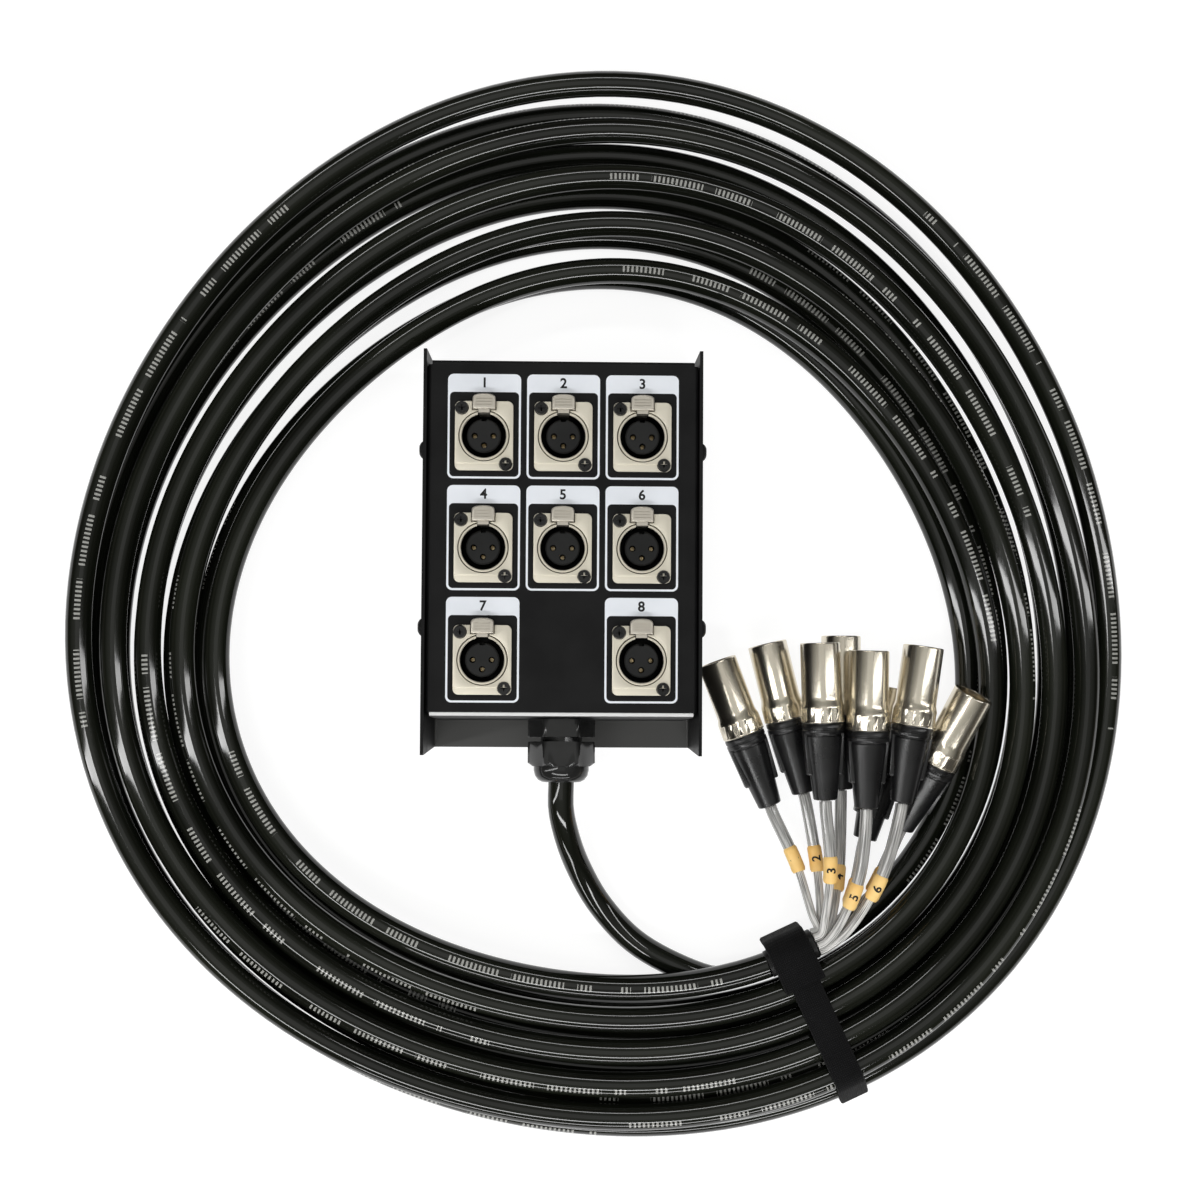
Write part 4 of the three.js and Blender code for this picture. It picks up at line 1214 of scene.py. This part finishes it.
# %% [markdown]
# A label is screen print: a thin rounded outline with a filled band at the top, for the number.
# In nodes, a rounded rectangle less a smaller one, filled, gives that shape. A hair's thickness
# lifts the ink off the panel.

# %% Print the labels
LABEL_HEIGHT, LABEL_BAND, LABEL_UP, LABEL_LIFT = 0.047, 0.0081, 0.0045, 0.00003
CORNER_COUNT, INNER_CORNER, INK_WELD = 8, 0.75, 0.000001


def label_tree():
    tree, size = geometry_tree(
        "Printed label", Width=0.0327, Height=LABEL_HEIGHT, Corner=0.0026,
        Line=0.0009, Band=LABEL_BAND, Ink=0.00004,
    )

    def rectangle(width, height, corner):
        sizes = {"Width": width, "Height": height}
        shape = result(tree, "GeometryNodeCurvePrimitiveQuadrilateral", sizes)
        inputs = {"Curve": shape, "Count": CORNER_COUNT, "Radius": corner}
        return result(tree, "GeometryNodeFilletCurve", inputs, mode="POLY")

    both_lines = math_node(tree, "MULTIPLY", size["Line"], 2.0)
    line_and_band = math_node(tree, "ADD", size["Line"], size["Band"])
    less_band = math_node(tree, "SUBTRACT", size["Line"], size["Band"])
    outer = rectangle(size["Width"], size["Height"], size["Corner"])
    inner = rectangle(
        math_node(tree, "SUBTRACT", size["Width"], both_lines),
        math_node(tree, "SUBTRACT", size["Height"], line_and_band),
        math_node(tree, "MULTIPLY", size["Corner"], INNER_CORNER),
    )
    down = result(tree, "ShaderNodeCombineXYZ", {"Y": math_node(tree, "MULTIPLY", less_band, 0.5)})
    outlines = [outer, shifted(tree, inner, down)]
    outlines = result(tree, "GeometryNodeJoinGeometry", {"Geometry": outlines})
    fill = result(tree, "GeometryNodeFillCurve", {"Curve": outlines}, mode="NGONS")
    inputs = {"Mesh": fill, "Offset Scale": size["Ink"], "Individual": False}
    sheets = [
        result(tree, "GeometryNodeExtrudeMesh", inputs),
        result(tree, "GeometryNodeFlipFaces", {"Mesh": fill}),
    ]
    closed = result(tree, "GeometryNodeJoinGeometry", {"Geometry": sheets})
    inputs = {"Geometry": closed, "Distance": INK_WELD}
    return on_points(tree, size, result(tree, "GeometryNodeMergeByDistance", inputs))


label_places = [p + Vector((0, LABEL_UP, LABEL_LIFT)) for p in socket_places]
labels = grow("printed_labels", label_places, label_tree(), label_ink)
finish(labels, label_ink, "enclosure_steel")
print("labels:", len(label_places))

# %% [markdown]
# The numbers are text turned into flat meshes. They stand in the middle of each label's band.

# %% Print the numbers
NUMBER_SIZE, NUMBER_THICK, NUMBER_LIFT, NUMBER_WEIGHT = 0.0062, 0.00003, 0.0001, 0.025
NUMBER_UP = LABEL_UP + LABEL_HEIGHT / 2 - LABEL_BAND / 2


def lettering(name, words, size, thick):
    curve = bpy.data.curves.new(name, "FONT")
    curve.body, curve.size, curve.extrude = words, size, thick
    curve.align_x, curve.align_y = "CENTER", "CENTER"
    curve.offset = size * NUMBER_WEIGHT
    text = new_object(name, curve)
    mesh = baked(text)
    bpy.data.objects.remove(text)
    return new_object(name, mesh)


digits = []
for number, place in enumerate(socket_places, 1):
    digit = lettering(f"digit_{number}", str(number), NUMBER_SIZE, NUMBER_THICK)
    at = Matrix.Translation(place + Vector((0, NUMBER_UP, NUMBER_LIFT)))
    digits.append(move(digit, at))
finish(joined("panel_numbers", *digits), number_ink, "enclosure_steel")
print("panel numbers:", len(digits))

# %% [markdown]
# ## Line plugs
#
# A line plug is a bright nickel shell that flares into a collar, with a black insulator and three
# pins inside, and a rubber boot behind. The collar has shallow flats, which break its reflections
# into squares. The boot tapers to the cable and has a wing on each side.

# %% Turn one plug
COLLAR_FLAT, COLLAR_LOW, COLLAR_HIGH = 0.0098, 0.0015, 0.0072
WING_TOP, WING_FOOT, WING_INSIDE, WING_HALF = (0.0097, -0.004), (0.0083, -0.024), 0.002, 0.003
WING_EDGE, WING_STEPS = 0.0007, 3


def collar_flats(angle, radius, height):
    flat = COLLAR_FLAT / math.cos((angle % (math.pi / 4)) - math.pi / 8)
    return min(radius, flat) if COLLAR_LOW < height < COLLAR_HIGH else radius


shell_outline = [
    (0, 0.0003), (0.0098, 0.0003), (0.0102, 0.0007), (0.0102, 0.0014), (0.0102, 0.0016),
    (0.0102, 0.0070), (0.0102, 0.0073), (0.01015, 0.0080), (0.0099, 0.0090), (0.0096, 0.0101),
    (0.00943, 0.0112), (0.0094, 0.0125), (0.0094, 0.0368), (0.0093, 0.0372), (0.0091, 0.03745),
    (0.0088, 0.0375), (0.0083, 0.03745), (0.0081, 0.0372), (0.0081, 0.0255), (0, 0.0255),
]
shell = turned("shell", shell_outline, MANY_SIDES, collar_flats)
insulator_outline = [
    (0, 0.0256), (0.00795, 0.0256), (0.00795, 0.0266), (0.0076, 0.0269), (0, 0.0269),
]
insulator = turned("insulator", insulator_outline, SOME_SIDES)
pin_outline = [
    (0, 0.0262), (0.0012, 0.0262), (0.0012, 0.0345), (0.00105, 0.0350), (0.0007, 0.0354),
    (0, 0.0355),
]
pins = [
    move(turned("pin", pin_outline, FEW_SIDES), Matrix.Translation((-y, x, 0)))
    for x, y in contact_places
]
pins = joined("pins", *pins)

boot_outline = [
    (0, -0.0355), (0.0052, -0.0355), (0.0056, -0.0351), (0.0062, -0.0300), (0.0071, -0.0220),
    (0.0080, -0.0140), (0.0086, -0.0085), (0.0088, -0.0060), (0.0085, -0.0056), (0.0085, -0.0050),
    (0.0096, -0.0047), (0.0098, -0.0042), (0.0098, -0.0030), (0.0095, -0.0027), (0.0095, -0.0023),
    (0.0098, -0.0020), (0.0098, -0.0004), (0.0096, 0.0), (0, 0.0),
]
boot_core = turned("boot_core", boot_outline)
wings = []
(top_out, top), (foot_out, foot) = WING_TOP, WING_FOOT
for side in (-1, 1):
    corners = ((WING_INSIDE, top), (WING_INSIDE, foot), (foot_out, foot), (top_out, top))
    vertices = [(x, side * y, z) for x in (-WING_HALF, WING_HALF) for y, z in corners]
    wing = mesh_piece("wing", vertices, loft_faces(2, 4))
    wings.append(rounded(wing, WING_EDGE, WING_STEPS))
boot = joined("boot", boot_core, *wings)
print("one plug:", [(piece.name, len(piece.data.polygons)) for piece in (shell, boot, pins)])

# %% [markdown]
# On each tail, clear shrink tube runs from the boot to the marker ring, which carries the plug's
# number. The number is bent round the ring: its height becomes an angle, and its width runs along
# the tail.

# %% Fit out the eight tails
SLEEVE_RADIUS, MARKER_RADIUS, MARKER_LENGTH = 0.0029, 0.0034, 0.0125
SLEEVE_END, SLEEVE_SIDES, MARKER_SIDES, SECTION_STEP = 0.0004, 20, 24, 0.0012
EASE_SHARE, EASE_DEPTH = 0.08, 0.16
RING_DIGIT, RING_INK, RING_LIFT = 0.0058, 0.00002, 0.00005


def along_line(line, length, at):
    """The place so far along a line, and the way ahead there."""
    step = length / (len(line) - 1)
    i = min(max(int(at / step), 0), len(line) - 2)
    ahead = (line[i + 1] - line[i]).normalized()
    return line[i].lerp(line[i + 1], at / step - i), ahead


def stretch(line, length, start, end):
    steps = max(4, round((end - start) / SECTION_STEP))
    ways = [start + (end - start) * n / steps for n in range(steps + 1)]
    return [along_line(line, length, way)[0] for way in ways]


def marker_radius(share):
    """Drawn in a little towards both ends, as shrink tube is."""
    return MARKER_RADIUS * (1 - EASE_DEPTH * max(0, 1 - min(share, 1 - share) / EASE_SHARE) ** 2)


def bent_round(digit, line, length, middle):
    for vertex in digit.data.vertices:
        x, y, z = vertex.co
        centre, ahead = along_line(line, length, middle + x)
        left = Vector((0, 0, 1)).cross(ahead).normalized()
        angle = y / MARKER_RADIUS
        out = ahead.cross(left) * math.cos(angle) + left * math.sin(angle)
        vertex.co = centre + out * (MARKER_RADIUS + RING_LIFT + z)
    return digit


for number, (at, (line, length), share) in enumerate(
    zip(plug_frames, tail_lines, MARKER_SHARES), 1
):
    middle = share * length
    covered = stretch(line, length, middle, length - SLEEVE_END)
    ringed = stretch(line, length, middle - MARKER_LENGTH / 2, middle + MARKER_LENGTH / 2)
    on_tail = [
        finish(copied(f"{name}_{number}", pattern, at), material, slot, *nodes)
        for name, pattern, material, slot, *nodes in (
            ("shell", shell, polished_nickel, "plug_metal", f"plug_{number}_shell"),
            ("boot", boot, boot_rubber, "boot_rubber", f"plug_{number}_boot"),
            ("insulator", insulator, insert_plastic, "contact_plastic"),
            ("pins", pins, contact_brass, "plug_metal"),
        )
    ]
    clear = tube(f"clear_sleeve_{number}", covered, SLEEVE_RADIUS, SLEEVE_SIDES)
    on_tail.append(finish(clear, clear_sleeve, "tail_jacket"))
    marker = tube(f"marker_{number}", ringed, marker_radius, MARKER_SIDES)
    on_tail.append(finish(marker, marker_yellow, "tail_jacket", f"tail_{number}"))
    digit = lettering(f"marker_digit_{number}", str(number), RING_DIGIT, RING_INK)
    bent_round(digit, line, length, middle)
    on_tail.append(finish(digit, number_ink, "tail_jacket"))
for pattern in (shell, boot, insulator, pins):
    bpy.data.objects.remove(pattern)

# %% [markdown]
# ## Counting the cords
#
# The main cable leaves the box at the gland and ends in the sleeve. Each tail leaves the sleeve
# and ends in its plug. Here the cords are only counted.

print("cords:", 1 + len(tails))

# %% [markdown]
# ## Floor, world and lamps
#
# The picture has a plain white ground. The floor glows for the camera and for reflections, up to
# full white away from the object. For the light that falls on it, it stays an ordinary pale
# floor, so it takes a soft shadow. A broad lamp overhead lights everything evenly. Four narrow
# ones and a low strip draw the long bright lines on the cable, and the world is a dim room,
# brighter overhead.

# %% Lay the floor
FLOOR_GLOW, FLOOR_MATT, FLOOR_PALE, FLOOR_FADE = 0.86, 0.26, 0.8, (0.4, 1.3)
FLOOR_HALF, FLOOR_DROP = 6, 0.0003


def emptied(block):
    """The node tree of a new material or world, with nothing in it."""
    block.use_nodes = True
    block.node_tree.nodes.clear()
    return block.node_tree


def floor_material():
    material = bpy.data.materials.new("floor")
    tree = emptied(material)
    rays = node(tree, "ShaderNodeLightPath").outputs
    seen = math_node(tree, "MAXIMUM", rays["Is Camera Ray"], rays["Is Glossy Ray"])
    seen = math_node(tree, "MAXIMUM", seen, rays["Is Transmission Ray"])
    away = {0: object_place(tree)}
    away = result(tree, "ShaderNodeVectorMath", away, "Value", operation="LENGTH")
    strength = spread(tree, away, FLOOR_GLOW, 1.0, *FLOOR_FADE)
    glow = result(tree, "ShaderNodeEmission", {"Strength": strength})
    matt, pale = [
        result(tree, "ShaderNodeBsdfDiffuse", {"Color": (shade, shade, shade, 1)})
        for shade in (FLOOR_MATT, FLOOR_PALE)
    ]
    shown = result(tree, "ShaderNodeAddShader", {0: glow, 1: matt})
    pick = result(tree, "ShaderNodeMixShader", {"Fac": seen, 1: pale, 2: shown})
    node(tree, "ShaderNodeOutputMaterial", {"Surface": pick})
    return material


corners = [
    (x * FLOOR_HALF, y * FLOOR_HALF, 0) for x, y in ((-1, -1), (1, -1), (1, 1), (-1, 1))
]
floor = new_object("floor", raw_mesh("floor", corners, [(0, 1, 2, 3)]))
floor.location = (0, 0, -FLOOR_DROP)
floor.data.materials.append(floor_material())
print("floor:", 2 * FLOOR_HALF, "m across")

# %% Light the scene
ROOM_MIDDLE = 0.45
ROOM_COLOURS = ((0.15, 0.135, 0.115), (0.03, 0.029, 0.026), (0.34, 0.34, 0.32))


def studio_world():
    """White for the camera, and for light and reflections the dim room."""
    world = bpy.data.worlds.new("studio")
    tree = emptied(world)
    direction = node(tree, "ShaderNodeTexCoord").outputs["Generated"]
    room = node(tree, "ShaderNodeValToRGB", {"Fac": axes(tree, direction)[2]})
    stops = room.color_ramp.elements
    stops.new(ROOM_MIDDLE)
    for stop, colour in zip(stops, ROOM_COLOURS):
        stop.color = (*colour, 1)
    dim, bright = [
        result(tree, "ShaderNodeBackground", {"Color": colour})
        for colour in (room.outputs["Color"], (1, 1, 1, 1))
    ]
    seen = node(tree, "ShaderNodeLightPath").outputs["Is Camera Ray"]
    pick = result(tree, "ShaderNodeMixShader", {"Fac": seen, 1: dim, 2: bright})
    node(tree, "ShaderNodeOutputWorld", {"Surface": pick})
    return world


def lamp(name, place, target, size, power):
    light = bpy.data.lights.new(name, "AREA")
    light.shape = "RECTANGLE"
    light.size, light.size_y = size
    light.energy = power
    made = new_object(name, light)
    made.location = place
    made.rotation_euler = (Vector(target) - Vector(place)).to_track_quat("-Z", "Y").to_euler()


bpy.context.scene.world = studio_world()
lamp("overhead", (0.0, 0.0, 1.9), (0, 0, 0), (1.1, 1.1), 1.2)
lamp("left key", (-1.1, -0.35, 1.2), (0, 0, 0), (0.1, 1.8), 8)
lamp("right key", (1.15, 0.1, 1.2), (0, 0, 0), (0.1, 1.5), 4.6)
lamp("near key", (-0.15, -1.1, 1.25), (0, 0, 0), (1.8, 0.16), 13.2)
lamp("far key", (-0.1, 1.1, 1.25), (0, 0, 0), (1.4, 0.14), 5.5)
lamp("near strip", (0, -1.3, 0.45), (0, -0.1, 0), (1.2, 0.1), 4)
bpy.context.scene.view_settings.view_transform = "Standard"
print("lamps:", [light.name for light in bpy.data.lights])
